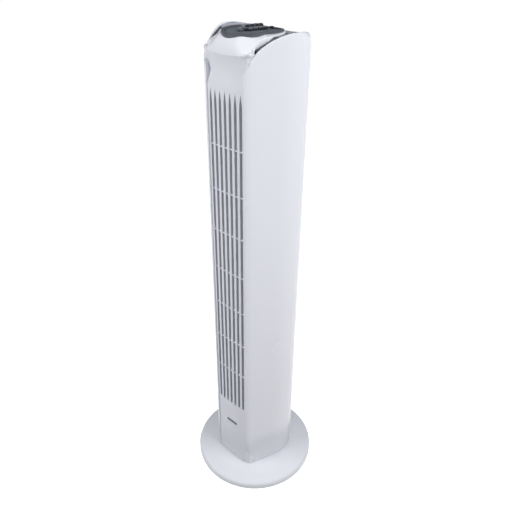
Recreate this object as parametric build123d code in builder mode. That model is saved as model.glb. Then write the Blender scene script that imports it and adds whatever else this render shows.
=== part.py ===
"""Tower fan: a tall blower column that swings on a round base. Millimetres, +Z up, front faces -Y.

The origin is the middle of the base on the floor. Every piece is written to parts/ as its own node.
"""

import os
from math import radians, sin, sqrt

from build123d import *

os.makedirs("parts", exist_ok=True)

# ---- driving dimensions -------------------------------------------------------------------------
# Base disc
BASE_RADIUS = 103.0
BASE_TOP = 20.0  # level middle of the disc, under the column
BASE_FLAT_RADIUS = 62.0
BASE_RIM_TOP = 12.5
BASE_EDGE = 5.0  # radius of the rounded rim
BASE_EDGE_TURN = 75.0
BASE_WALL = 2.6
FOOT_HEIGHT = 2.5
FOOT_RADIUS = 8.0
FOOT_CIRCLE = 86.0
FOOT_COUNT = 5
FLOOR_PLATE = 2.5  # thickness of the plastic plate that closes the base

# Column plan: front arc, tight corner, straight flank, side arc, shoulder, back arc
COLUMN_FRONT = 60.0
FRONT_RADIUS = 282.0
FRONT_TURN = 6.5
CORNER_RADIUS = 9.0
FLANK_LEAN = 21.8
FLANK_LENGTH = 40.0
SIDE_RADIUS = 84.0
SHOULDER_RADIUS = 38.0
SHOULDER_TURN = 60.0
WALL = 2.6
COLUMN_BOTTOM = 21.0

# Column side view: the rounded top of the casing, and the fuller head cover between its walls
CASING_FRONT = 58.7
CASING_SHOULDER = 688.0  # the walls' edge leaves the front seam at this height
CASING_FRONT_ROUND = 38.0
CASING_FRONT_TURN = 52.0
CASING_RISE_RADIUS = 76.0
CASING_FALL_RADIUS = 157.0
CASING_FALL_TURN = 19.4
CASING_BACK_ROUND = 8.0
CASING_TOP = 740.0  # above the highest point of the walls
COLLAR_WIDTH = 5.4  # sunken collar between the casing walls and the head cover
COLLAR_DROP = 2.5  # the collar lies this far inside the walls' edge
COLLAR_THICKNESS = 3.0
COLLAR_FOOT = 676.0  # its front corners reach down to here, behind the walls' edge
COLLAR_REAR_FOOT = 712.0
BROW_HEIGHT = 711.0
BROW_FRONT = 59.5
HEAD_TOP = 733.6
CROWN_RADIUS = 420.0  # shared by the head cover, the bezel ring and the control plate
CREST = -25.0  # depth at which that crown is highest
HEAD_CORNER = 40.0  # the head curves down to the brow in front of this
CAP_CENTRE = -30.0  # towards the back the head cover is drawn in to an oval
CAP_HALF_WIDTH = 41.5
CAP_HALF_LENGTH = 68.0
HEAD_WALL = 2.4
HEAD_SKIRT = 704.0

# Front grille
FRONT_SEAM = 31.6  # half the width between the two side shells
GRILLE_RECESS = 1.5
SLOT_COUNT = 7
SLOT_PITCH = 8.5
SLOT_WIDTH = 4.3
SLOT_BOTTOM = 147.0
SLOT_TOP = 668.0
SLOT_POINT = 16.0  # length of the tapered upper end of a slot
SLAT_DEPTH = 7.0
RIB_COUNT = 7
RIB_PITCH = 62.9
RIB_FIRST = 219.0
RIB_HEIGHT = 1.8
SCOOP_DEPTH = 4.5

# Rear intake
REAR_SEAM = 40.0
REAR_SCREW_ACROSS = 33.5
REAR_SCREW_HEIGHTS = (110.0, 690.0)
REAR_SCREW_FACE = 52.0  # depth of the flat that the screw heads sit on
REAR_SLOT_COUNT = 9
REAR_SLOT_PITCH = 7.6
REAR_SLOT_WIDTH = 4.0

# Impeller and its motor
AXIS_Y = 8.0
IMPELLER_RADIUS = 36.0
IMPELLER_BOTTOM = 142.0
IMPELLER_TOP = 658.0
BLADE_COUNT = 24
BLADE_INNER = 28.0
BLADE_THICKNESS = 1.3
DISC_THICKNESS = 2.0
BAY_COUNT = 5
SHAFT_RADIUS = 4.0
RUNNING_GAP = 0.04
SHELF_BOTTOM = 62.0
SHELF_THICKNESS = 3.0
STATOR_SIZE = 58.0
STATOR_HEIGHT = 18.0
ROTOR_RADIUS = 20.0
BELL_HEIGHT = 14.0
SCROLL_BOTTOM = 131.0
SCROLL_TOP = 663.0

# Swing mechanism
POST_RADIUS = 7.0
POST_BORE = 4.5
POST_NECK = 6.2  # radius at the groove for the clip
HUB_RADIUS = 10.5
HUB_TOP = 56.0
CRANK_CENTRE = 30.0
CRANK_THROW = 15.0
CRANK_PIN_RADIUS = 2.2
CRANK_SPINDLE = 2.5
CRANK_DISC_RADIUS = 17.6
TRACK_HALF_WIDTH = 3.3

# Control panel
PANEL_CENTRE = -8.0
PANEL_HALF_LENGTH = 38.5
PANEL_HALF_WIDTH = 27.0
BEZEL_WIDTH = 6.0
PANEL_TOP = 732.8
PANEL_THICKNESS = 2.0
KEY_NAMES = ("key_off", "key_low", "key_medium", "key_high")
KEY_PITCH = 8.5
KEY_GAP = 0.5
KEY_LENGTH = 13.0
KEY_TOP = 738.9  # the raised half of a key at the crest, to the left
KEY_STEP_TOP = 736.4  # the lower half, to the right
KEY_BANK_CENTRE = -5.5
KNOB_CENTRE = -29.5
KNOB_RADIUS = 4.2
KNOB_TOP = 737.8
SWING_BUTTON_CENTRE = 26.0
SWING_BUTTON_RADIUS = 2.8
SWING_BUTTON_TOP = 732.4

# Screws, clearances and small parts
SCREW_HEAD = 2.7
SCREW_HOLE = 1.6
SCREW_CORE = 1.4
SEAM_GAP = 0.2  # between the edge of an inset panel and the side shells

# ---- sizes that follow --------------------------------------------------------------------------
SHELF_TOP = SHELF_BOTTOM + SHELF_THICKNESS
STATOR_BOTTOM = SHELF_TOP + BELL_HEIGHT
STATOR_TOP = STATOR_BOTTOM + STATOR_HEIGHT
INNER = WALL + 0.25  # inset of plates that fit inside the casing walls
HEAD_INSET = INNER + COLLAR_WIDTH


def save(piece, label):
    """Label a finished piece and write its STEP file."""
    piece.part.label = label
    export_step(piece.part, f"parts/{label}.step")


def column_plan(inset=0.0):
    """The column's plan, moved inwards by inset."""
    with BuildSketch() as plan:
        with BuildLine():
            front = JernArc((0, -COLUMN_FRONT), (1, 0), FRONT_RADIUS, FRONT_TURN)
            corner = JernArc(front @ 1, front % 1, CORNER_RADIUS, 90 - FLANK_LEAN - FRONT_TURN)
            flank = Line(corner @ 1, corner @ 1 + (corner % 1) * FLANK_LENGTH)
            side = JernArc(flank @ 1, flank % 1, SIDE_RADIUS, FLANK_LEAN)
            shoulder = JernArc(side @ 1, side % 1, SHOULDER_RADIUS, SHOULDER_TURN)
            back_turn = 90 - SHOULDER_TURN
            back_radius = (shoulder @ 1).X / sin(radians(back_turn))
            JernArc(shoulder @ 1, shoulder % 1, back_radius, back_turn)
            mirror(about=Plane.YZ)
        make_face()
        if inset:
            offset(amount=-inset, mode=Mode.REPLACE)
    return plan.sketch


def casing_side_view(inset=0.0):
    """The casing's outline as seen from the side, with Y to the right and Z up, moved inwards by inset."""
    with BuildSketch() as view:
        with BuildLine():
            front = Line((-CASING_FRONT, 0), (-CASING_FRONT, CASING_SHOULDER))
            round_up = JernArc(front @ 1, (0, 1), CASING_FRONT_ROUND, -CASING_FRONT_TURN)
            rise = JernArc(round_up @ 1, round_up % 1, CASING_RISE_RADIUS, CASING_FRONT_TURN - 90)
            fall = JernArc(rise @ 1, rise % 1, CASING_FALL_RADIUS, -CASING_FALL_TURN)
            back = JernArc(fall @ 1, fall % 1, CASING_BACK_ROUND, CASING_FALL_TURN - 90)
            Polyline(back @ 1, ((back @ 1).X, 0), (-CASING_FRONT, 0))
        make_face()
        if inset:
            offset(amount=-inset, kind=Kind.INTERSECTION, mode=Mode.REPLACE)
    return view.sketch


def crown_height(depth, top):
    """Height of the head's crown at a depth, where top is the height of its crest."""
    return top - CROWN_RADIUS + sqrt(CROWN_RADIUS**2 - (depth - CREST) ** 2)


def crown_view(top):
    """Side view of all that lies under a crown whose crest is at top."""
    reach = COLUMN_FRONT + 2
    with BuildSketch() as view:
        with BuildLine():
            rear_end = (CREST + reach, crown_height(CREST + reach, top))
            front_end = (CREST - reach, crown_height(CREST - reach, top))
            ThreePointArc(rear_end, (CREST, top), front_end)
            Polyline(front_end, (front_end[0], HEAD_SKIRT), (rear_end[0], HEAD_SKIRT), rear_end)
        make_face()
    return view.sketch


def head_side_view(inset=0.0):
    """The head cover's outline as seen from the side, moved inwards by inset."""
    brow = (-BROW_FRONT, BROW_HEIGHT)
    foot = HEAD_SKIRT - 10
    with BuildSketch() as view:
        with BuildLine():
            crown = ThreePointArc(
                (COLUMN_FRONT, crown_height(COLUMN_FRONT, HEAD_TOP)),
                (CREST, HEAD_TOP),
                (-HEAD_CORNER, crown_height(-HEAD_CORNER, HEAD_TOP)),
            )
            TangentArc(crown @ 1, brow, tangent=crown % 1)
            Polyline(brow, (-BROW_FRONT, foot), (COLUMN_FRONT, foot), crown @ 0)
        make_face()
        if inset:
            offset(amount=-inset, kind=Kind.INTERSECTION, mode=Mode.REPLACE)
    return view.sketch


def oval(grow=0.0):
    """The control panel's oval, grown by grow."""
    with BuildSketch() as outline:
        with Locations((0, PANEL_CENTRE)):
            Ellipse(PANEL_HALF_WIDTH + grow, PANEL_HALF_LENGTH + grow)
    return outline.sketch


def cap_plan(inset=0.0):
    """Plan of the head cover: wide along the brow, drawn in to an oval towards the back."""
    with BuildSketch() as plan:
        add(column_plan(HEAD_INSET + inset))
        with Locations((0, CAP_CENTRE)):
            Ellipse(CAP_HALF_WIDTH - inset, CAP_HALF_LENGTH - inset, mode=Mode.INTERSECT)
        with Locations((0, -COLUMN_FRONT)):
            Rectangle(2 * (FRONT_SEAM - 0.3 - inset), COLUMN_FRONT)
    return plan.sketch


def ring_plan(outer, inner):
    """The plan of a wall between two insets of the column's outline."""
    with BuildSketch() as ring:
        add(column_plan(outer))
        add(column_plan(inner), mode=Mode.SUBTRACT)
    return ring.sketch


# ---- base ---------------------------------------------------------------------------------------
BOSS_CIRCLE = 84.0
BOSS_COUNT = 4
BOSS_RADIUS = 4.0
FOOT_STEM = 3.5
SLIDE_RING_INNER = 48.2
SLIDE_RING_OUTER = 52.3
COVER_BOTTOM = 1.2


def cover_section(inset=0.0):
    """Half of the base cover's section, moved inwards by inset."""
    radius = BASE_RADIUS - inset
    with BuildSketch() as section:
        with BuildLine():
            rim = Line((radius, COVER_BOTTOM), (radius, BASE_RIM_TOP - BASE_EDGE))
            edge = JernArc(rim @ 1, (0, 1), BASE_EDGE - inset, BASE_EDGE_TURN)
            level = (BASE_FLAT_RADIUS, BASE_TOP - inset)
            slope = Spline(edge @ 1, level, tangents=(edge % 1, (-1, 0)))
            Polyline(slope @ 1, (0, BASE_TOP - inset), (0, COVER_BOTTOM), rim @ 0)
        make_face()
    return section.sketch


with BuildPart() as base_cover:
    with BuildSketch(Plane.XZ):
        add(cover_section())
    revolve(axis=Axis.Z)
    with BuildSketch(Plane.XZ):
        add(cover_section(BASE_WALL))
    revolve(axis=Axis.Z, mode=Mode.SUBTRACT)
    with BuildSketch(Plane.XY.offset(FOOT_HEIGHT + FLOOR_PLATE + 0.1)):
        with PolarLocations(BOSS_CIRCLE, BOSS_COUNT, start_angle=45):
            Circle(BOSS_RADIUS)
    extrude(until=Until.NEXT)
    with BuildSketch(Plane.XY.offset(FOOT_HEIGHT + FLOOR_PLATE)):
        with PolarLocations(BOSS_CIRCLE, BOSS_COUNT, start_angle=45):
            Circle(SCREW_CORE)
    extrude(amount=7, mode=Mode.SUBTRACT)
    with BuildSketch(Plane.XY.offset(BASE_TOP - BASE_WALL - 1)):
        Circle(POST_RADIUS + 1.5)
        with Locations((0, CRANK_CENTRE)):
            half_width = TRACK_HALF_WIDTH + 1
            SlotOverall(2 * (CRANK_THROW + half_width), 2 * half_width, rotation=90)
    extrude(amount=BASE_WALL + 2, mode=Mode.SUBTRACT)
save(base_cover, "base_cover")

with BuildPart() as base_floor:
    with BuildSketch(Plane.XY.offset(FOOT_HEIGHT)):
        Circle(BASE_RADIUS - BASE_WALL - 0.4)
        with PolarLocations(BOSS_CIRCLE, BOSS_COUNT, start_angle=45):
            Circle(SCREW_HOLE + 0.2, mode=Mode.SUBTRACT)
        with PolarLocations(FOOT_CIRCLE, FOOT_COUNT, start_angle=90):
            Circle(FOOT_STEM + 0.1, mode=Mode.SUBTRACT)
        Circle(POST_BORE, mode=Mode.SUBTRACT)
    extrude(amount=FLOOR_PLATE)
save(base_floor, "base_floor")

with BuildPart() as feet:
    with BuildSketch():
        with PolarLocations(FOOT_CIRCLE, FOOT_COUNT, start_angle=90):
            Circle(FOOT_RADIUS)
    extrude(amount=FOOT_HEIGHT)
    fillet(feet.faces().sort_by(Axis.Z)[0:FOOT_COUNT].edges(), 0.6)
    with BuildSketch(Plane.XY.offset(FOOT_HEIGHT)):
        with PolarLocations(FOOT_CIRCLE, FOOT_COUNT, start_angle=90):
            Circle(FOOT_STEM)
    extrude(amount=FLOOR_PLATE)
save(feet, "rubber_feet")

with BuildPart() as base_screws:
    with BuildSketch(Plane.XY.offset(FOOT_HEIGHT - 1.4)):
        with PolarLocations(BOSS_CIRCLE, BOSS_COUNT, start_angle=45):
            Circle(3.2)
    extrude(amount=1.4)
    with BuildSketch(Plane.XY.offset(FOOT_HEIGHT)):
        with PolarLocations(BOSS_CIRCLE, BOSS_COUNT, start_angle=45):
            Circle(1.35)
    extrude(amount=8)
save(base_screws, "base_screws")

BALLAST_RADIUS = 77.0
BALLAST_BORE = 30.0
BALLAST_THICKNESS = 6.0
with BuildPart() as ballast:
    with BuildSketch(Plane.XY.offset(FOOT_HEIGHT + FLOOR_PLATE + 0.1)):
        Circle(BALLAST_RADIUS)
        Circle(BALLAST_BORE, mode=Mode.SUBTRACT)
    extrude(amount=BALLAST_THICKNESS)
save(ballast, "ballast_plate")

POST_FOOT = FOOT_HEIGHT + FLOOR_PLATE
CLIP_BOTTOM = HUB_TOP + 0.2
CLIP_THICKNESS = 1.2
with BuildPart() as post:
    with BuildSketch(Plane.XY.offset(POST_FOOT)):
        Circle(22)
    extrude(amount=3)
    with BuildSketch(Plane.XY.offset(POST_FOOT)):
        Circle(POST_RADIUS)
    extrude(amount=CLIP_BOTTOM + CLIP_THICKNESS + 1 - POST_FOOT)
    with BuildSketch(Plane.XY.offset(CLIP_BOTTOM)):
        Circle(POST_RADIUS + 1)
        Circle(POST_NECK, mode=Mode.SUBTRACT)
    extrude(amount=CLIP_THICKNESS, mode=Mode.SUBTRACT)
    with BuildSketch(Plane.XY.offset(POST_FOOT)):
        Circle(POST_BORE)
    extrude(amount=60, mode=Mode.SUBTRACT)
save(post, "pivot_post")

with BuildPart() as clip:
    with BuildSketch(Plane.XY.offset(CLIP_BOTTOM)):
        Circle(HUB_RADIUS - 0.5)
        Circle(POST_NECK, mode=Mode.SUBTRACT)
    extrude(amount=CLIP_THICKNESS)
save(clip, "post_clip")

with BuildPart() as slide_ring:
    with BuildSketch(Plane.XY.offset(BASE_TOP)):
        Circle(SLIDE_RING_OUTER)
        Circle(SLIDE_RING_INNER, mode=Mode.SUBTRACT)
    extrude(amount=1.6)
save(slide_ring, "slide_ring")

with BuildPart() as track:
    with BuildSketch(Plane.XY.offset(BASE_TOP - BASE_WALL - 2.4)):
        with Locations((0, CRANK_CENTRE)):
            RectangleRounded(18, 46, 4)
            length = 2 * (CRANK_THROW + TRACK_HALF_WIDTH)
            SlotOverall(length, 2 * TRACK_HALF_WIDTH, rotation=90, mode=Mode.SUBTRACT)
        Circle(POST_RADIUS + 0.8, mode=Mode.SUBTRACT)
    extrude(amount=2.4)
save(track, "swing_track")

# ---- column foot and swing drive ----------------------------------------------------------------
FOOT_PLATE_BOTTOM = 22.0
FOOT_PLATE_TOP = 25.0

with BuildPart() as foot_plate:
    with BuildSketch(Plane.XY.offset(FOOT_PLATE_BOTTOM)):
        add(column_plan(INNER))
        Circle(HUB_RADIUS + 0.1, mode=Mode.SUBTRACT)
        with Locations((0, CRANK_CENTRE)):
            Circle(CRANK_DISC_RADIUS + 0.4, mode=Mode.SUBTRACT)
        with Locations((0, -80)):
            Rectangle(2 * FRONT_SEAM + 1, 2 * (80 - 54), mode=Mode.SUBTRACT)
    extrude(amount=FOOT_PLATE_TOP - FOOT_PLATE_BOTTOM)
    with BuildSketch(Plane.XY.offset(BASE_TOP + 1.7)):
        Circle(SLIDE_RING_OUTER)
        Circle(SLIDE_RING_INNER, mode=Mode.SUBTRACT)
    extrude(amount=FOOT_PLATE_BOTTOM - BASE_TOP - 1.7)
save(foot_plate, "foot_plate")

with BuildPart() as hub:
    with BuildSketch(Plane.XY.offset(FOOT_PLATE_BOTTOM)):
        Circle(HUB_RADIUS)
    extrude(amount=HUB_TOP - FOOT_PLATE_BOTTOM)
    with BuildSketch(Plane.XY.offset(FOOT_PLATE_TOP)):
        with Locations((0, -6)):
            RectangleRounded(40, 30, 5)
        with Locations((0, CRANK_CENTRE)):
            Circle(CRANK_DISC_RADIUS + 2.5, mode=Mode.SUBTRACT)
    extrude(amount=3)
    with BuildSketch(Plane.XY.offset(FOOT_PLATE_BOTTOM)):
        Circle(POST_RADIUS + RUNNING_GAP)
    extrude(amount=60, mode=Mode.SUBTRACT)
save(hub, "swivel_hub")

SWING_MOTOR_BOTTOM = 26.5
with BuildPart() as swing_motor:
    with BuildSketch(Plane.XY.offset(SWING_MOTOR_BOTTOM)):
        with Locations((0, CRANK_CENTRE + 3)):
            Circle(21)
    extrude(amount=16)
    fillet(swing_motor.faces().sort_by(Axis.Z)[-1].edges(), 1.5)
    with BuildSketch(Plane.XY.offset(FOOT_PLATE_TOP)):
        with Locations((26, CRANK_CENTRE + 3), (-26, CRANK_CENTRE + 3)):
            Circle(3.5)
            Circle(1.6, mode=Mode.SUBTRACT)
    extrude(amount=4)
    with BuildSketch(Plane.XY.offset(SWING_MOTOR_BOTTOM)):
        with Locations((0, CRANK_CENTRE + 3)):
            SlotOverall(56, 6)
            with Locations((26, 0), (-26, 0)):
                Circle(1.6, mode=Mode.SUBTRACT)
    extrude(amount=1.2)
    with BuildSketch(Plane.XY.offset(SWING_MOTOR_BOTTOM)):
        with Locations((0, CRANK_CENTRE)):
            Circle(CRANK_SPINDLE + RUNNING_GAP)
    extrude(amount=6, mode=Mode.SUBTRACT)
save(swing_motor, "swing_motor")

with BuildPart() as crank:
    with BuildSketch(Plane.XY.offset(FOOT_PLATE_BOTTOM + 0.2)):
        with Locations((0, CRANK_CENTRE)):
            Circle(CRANK_DISC_RADIUS)
    extrude(amount=2.6)
    with BuildSketch(Plane.XY.offset(FOOT_PLATE_BOTTOM + 2.8)):
        with Locations((0, CRANK_CENTRE)):
            Circle(CRANK_SPINDLE)
    extrude(amount=SWING_MOTOR_BOTTOM + 5.5 - FOOT_PLATE_BOTTOM - 2.8)
    with BuildSketch(Plane.XY.offset(BASE_TOP - BASE_WALL - 2)):
        with Locations((0, CRANK_CENTRE + CRANK_THROW)):
            Circle(CRANK_PIN_RADIUS)
    extrude(amount=FOOT_PLATE_BOTTOM + 0.2 - BASE_TOP + BASE_WALL + 2)
save(crank, "swing_crank")

# ---- casing walls -------------------------------------------------------------------------------
with BuildPart() as casing_form:
    with BuildSketch(Plane.XY.offset(COLUMN_BOTTOM)):
        add(column_plan())
    extrude(amount=CASING_TOP - COLUMN_BOTTOM)
    with BuildSketch(Plane.YZ):
        add(casing_side_view())
    extrude(amount=80, both=True, mode=Mode.INTERSECT)

FLANGE_TOP = 700.0
with BuildPart() as right_shell:
    with BuildSketch(Plane.XY.offset(COLUMN_BOTTOM)):
        add(ring_plan(0, WALL))
        with Locations((80 + FRONT_SEAM, -60)):
            Rectangle(160, 120, mode=Mode.INTERSECT)
    extrude(amount=CASING_TOP - COLUMN_BOTTOM)
    with BuildSketch(Plane.XY.offset(COLUMN_BOTTOM)):
        add(ring_plan(0, WALL))
        with Locations((80 + REAR_SEAM, 60)):
            Rectangle(160, 120, mode=Mode.INTERSECT)
    extrude(amount=CASING_TOP - COLUMN_BOTTOM)
    add(casing_form.part, mode=Mode.INTERSECT)
    # Flanges that carry the edges of the grille and of the rear housing
    with BuildSketch(Plane.XY.offset(FOOT_PLATE_TOP + 1)):
        add(ring_plan(WALL, 6.2))
        with Locations((FRONT_SEAM + 1.5, -60)):
            Rectangle(3, 120, mode=Mode.INTERSECT)
    extrude(amount=SLOT_TOP - 6 - FOOT_PLATE_TOP)
    with BuildSketch(Plane.XY.offset(FOOT_PLATE_TOP + 1)):
        add(ring_plan(4.2, 6.2))
        with Locations((FRONT_SEAM - 1.3, -60)):
            Rectangle(3.4, 120, mode=Mode.INTERSECT)
    extrude(amount=SLOT_TOP - 6 - FOOT_PLATE_TOP)
    with BuildSketch(Plane.XY.offset(FOOT_PLATE_TOP + 1)):
        add(ring_plan(WALL, 5.2))
        with Locations((REAR_SEAM + 1.5, 60)):
            Rectangle(3, 120, mode=Mode.INTERSECT)
    extrude(amount=FLANGE_TOP - FOOT_PLATE_TOP)
    with BuildSketch(Plane.XY.offset(FOOT_PLATE_TOP + 1)):
        add(ring_plan(3.2, 5.2))
        with Locations((REAR_SEAM - 5, 60)):
            Rectangle(11, 120, mode=Mode.INTERSECT)
    extrude(amount=FLANGE_TOP - FOOT_PLATE_TOP)
    with BuildSketch(Plane.XZ.offset(-35)):
        for height in REAR_SCREW_HEIGHTS:
            with Locations((REAR_SCREW_ACROSS, height)):
                Circle(1.45)
    extrude(amount=-20, mode=Mode.SUBTRACT)
save(right_shell, "right_side_shell")

with BuildPart() as left_shell:
    add(right_shell.part.mirror(Plane.YZ))
save(left_shell, "left_side_shell")

RIB_HEIGHTS = [RIB_FIRST + RIB_PITCH * rib for rib in range(RIB_COUNT)]
REAR_BAYS = [SLOT_BOTTOM] + [height + RIB_HEIGHT + 3 for height in RIB_HEIGHTS]
with BuildPart() as rear_housing:
    with BuildSketch(Plane.XY.offset(COLUMN_BOTTOM)):
        add(ring_plan(0.4, 2.8))
        with Locations((0, 60)):
            Rectangle(2 * (REAR_SEAM - SEAM_GAP), 120, mode=Mode.INTERSECT)
    extrude(amount=CASING_TOP - COLUMN_BOTTOM)
    add(casing_form.part, mode=Mode.INTERSECT)
    for bottom, top in zip(REAR_BAYS, RIB_HEIGHTS + [SLOT_TOP]):
        with BuildSketch(Plane.XZ.offset(-70)):
            with Locations((0, (bottom + top) / 2)):
                with GridLocations(REAR_SLOT_PITCH, 1, REAR_SLOT_COUNT, 1):
                    SlotOverall(top - bottom, REAR_SLOT_WIDTH, rotation=90)
        extrude(amount=30, mode=Mode.SUBTRACT)
    with BuildSketch(Plane.XZ.offset(-70)):
        with Locations((0, 40)):
            Circle(5.1)
        for height in REAR_SCREW_HEIGHTS:
            with Locations((-REAR_SCREW_ACROSS, height), (REAR_SCREW_ACROSS, height)):
                Circle(SCREW_HOLE)
    extrude(amount=30, mode=Mode.SUBTRACT)
    with BuildSketch(Plane.XZ.offset(-REAR_SCREW_FACE)):
        for height in REAR_SCREW_HEIGHTS:
            with Locations((-REAR_SCREW_ACROSS, height), (REAR_SCREW_ACROSS, height)):
                Circle(SCREW_HEAD + 0.3)
    extrude(amount=-10, mode=Mode.SUBTRACT)
save(rear_housing, "rear_housing")

# ---- front grille -------------------------------------------------------------------------------
PANEL_WALL = 2.4


def scoop_view(back):
    """Side view of the grille panel: upright, hollowed above the slots, out again to the brow."""
    face = GRILLE_RECESS - COLUMN_FRONT + back
    deep = face + SCOOP_DEPTH
    with BuildSketch() as view:
        with BuildLine():
            upright = Line((face, 0), (face, SLOT_TOP + 3))
            hollow = Spline(
                upright @ 1,
                (deep, SLOT_TOP + 23),
                (back - BROW_FRONT, BROW_HEIGHT - 0.3),
                tangents=((0, 1), (-0.75, 1)),
            )
            Polyline(hollow @ 1, (0, BROW_HEIGHT - 0.3), (0, 0), upright @ 0)
        make_face()
    return view.sketch


with BuildPart() as grille:
    with BuildSketch(Plane.XY.offset(COLUMN_BOTTOM + 0.5)):
        add(column_plan(GRILLE_RECESS))
        with Locations((0, -50)):
            Rectangle(2 * (FRONT_SEAM - SEAM_GAP), 60, mode=Mode.INTERSECT)
    extrude(amount=BROW_HEIGHT - COLUMN_BOTTOM)
    with BuildSketch(Plane.YZ):
        add(scoop_view(0))
    extrude(amount=80, both=True, mode=Mode.INTERSECT)
    with BuildPart(mode=Mode.PRIVATE) as grille_hollow:
        with BuildSketch(Plane.XY.offset(COLUMN_BOTTOM)):
            add(column_plan(GRILLE_RECESS + PANEL_WALL))
        extrude(amount=BROW_HEIGHT - COLUMN_BOTTOM)
        with BuildSketch(Plane.YZ):
            add(scoop_view(PANEL_WALL))
        extrude(amount=80, both=True, mode=Mode.INTERSECT)
        with BuildSketch(Plane.XY.offset(SLOT_BOTTOM - 4)):
            add(ring_plan(GRILLE_RECESS, GRILLE_RECESS + SLAT_DEPTH))
            with Locations((0, -50)):
                Rectangle(2 * FRONT_SEAM - 7.2, 40, mode=Mode.INTERSECT)
        extrude(amount=SLOT_TOP - SLOT_BOTTOM + 2, mode=Mode.SUBTRACT)
    add(grille_hollow.part, mode=Mode.SUBTRACT)
    for slot in range(SLOT_COUNT):
        across = (slot - (SLOT_COUNT - 1) / 2) * SLOT_PITCH
        with BuildSketch(Plane.XZ.offset(40)):
            with BuildLine(Plane.XZ.offset(40)):
                left = across - SLOT_WIDTH / 2
                right = across + SLOT_WIDTH / 2
                corner = SLOT_BOTTOM + 2
                shoulder = SLOT_TOP - SLOT_POINT
                foot = ThreePointArc((left, corner), (across, SLOT_BOTTOM), (right, corner))
                Polyline(foot @ 1, (right, shoulder), (across, SLOT_TOP), (left, shoulder), foot @ 0)
            make_face()
        extrude(amount=30, mode=Mode.SUBTRACT)
    with BuildPart(mode=Mode.PRIVATE) as ribs:
        for height in RIB_HEIGHTS:
            with BuildSketch(Plane.XY.offset(height)):
                add(ring_plan(GRILLE_RECESS + 0.5, GRILLE_RECESS + 4.5))
                with Locations((0, -50)):
                    Rectangle(SLOT_COUNT * SLOT_PITCH - 2, 40, mode=Mode.INTERSECT)
            extrude(amount=RIB_HEIGHT)
    add(ribs.part)
save(grille, "front_grille")

BADGE_CENTRE = 103.0
BADGE_LENGTH = 23.0
BADGE_HEIGHT = 3.6
with BuildPart() as badge:
    with BuildSketch(Plane.XZ.offset(COLUMN_FRONT - GRILLE_RECESS - 0.3)):
        with Locations((0, BADGE_CENTRE)):
            SlotOverall(BADGE_LENGTH, BADGE_HEIGHT)
    extrude(amount=0.9)
    with BuildSketch(Plane.XY.offset(BADGE_CENTRE - BADGE_HEIGHT)):
        add(column_plan(GRILLE_RECESS))
    extrude(amount=2 * BADGE_HEIGHT, mode=Mode.SUBTRACT)
save(badge, "blank_badge")

# ---- head and control panel ---------------------------------------------------------------------
PANEL_HOLE_GAP = 0.3
BROW_DEPTH = 9.5  # from the brow back to where the grille panel ends under it

with BuildPart() as head:
    with BuildSketch(Plane.XY.offset(HEAD_SKIRT)):
        add(cap_plan())
    extrude(amount=40)
    with BuildSketch(Plane.YZ):
        add(head_side_view())
    extrude(amount=80, both=True, mode=Mode.INTERSECT)
    with BuildSketch(Plane.XY.offset(HEAD_SKIRT)):
        with Locations((0, -BROW_FRONT)):
            Rectangle(200, 2 * BROW_DEPTH)
    extrude(amount=BROW_HEIGHT - HEAD_SKIRT, mode=Mode.SUBTRACT)
    with BuildPart(mode=Mode.PRIVATE) as head_hollow:
        with BuildSketch(Plane.XY.offset(HEAD_SKIRT)):
            add(cap_plan(HEAD_WALL))
        extrude(amount=40)
        with BuildSketch(Plane.YZ):
            add(head_side_view(HEAD_WALL))
        extrude(amount=80, both=True, mode=Mode.INTERSECT)
        with BuildSketch(Plane.XY.offset(HEAD_SKIRT)):
            with Locations((0, -BROW_FRONT)):
                Rectangle(200, 2 * (BROW_DEPTH + HEAD_WALL))
        extrude(amount=BROW_HEIGHT - HEAD_SKIRT + HEAD_WALL, mode=Mode.SUBTRACT)
    add(head_hollow.part, mode=Mode.SUBTRACT)
    with BuildSketch(Plane.XY.offset(HEAD_SKIRT)):
        add(oval(BEZEL_WIDTH - 2))
    extrude(amount=40, mode=Mode.SUBTRACT)
save(head, "head_cover")

with BuildPart() as collar:
    with BuildSketch(Plane.XY.offset(COLLAR_FOOT)):
        add(column_plan(INNER))
        add(cap_plan(-0.15), mode=Mode.SUBTRACT)
        with Locations((0, -COLUMN_FRONT)):
            Rectangle(2 * (FRONT_SEAM + SEAM_GAP), COLUMN_FRONT, mode=Mode.SUBTRACT)
    extrude(amount=CASING_TOP - COLLAR_FOOT)
    with BuildSketch(Plane.XY.offset(COLLAR_FOOT)):
        with Locations((0, COLUMN_FRONT)):
            Rectangle(2 * COLUMN_FRONT, 2 * COLUMN_FRONT)
    extrude(amount=COLLAR_REAR_FOOT - COLLAR_FOOT, mode=Mode.SUBTRACT)
    with BuildSketch(Plane.YZ):
        add(casing_side_view(COLLAR_DROP))
        add(casing_side_view(COLLAR_DROP + COLLAR_THICKNESS), mode=Mode.SUBTRACT)
    extrude(amount=80, both=True, mode=Mode.INTERSECT)
save(collar, "head_collar")

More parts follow.
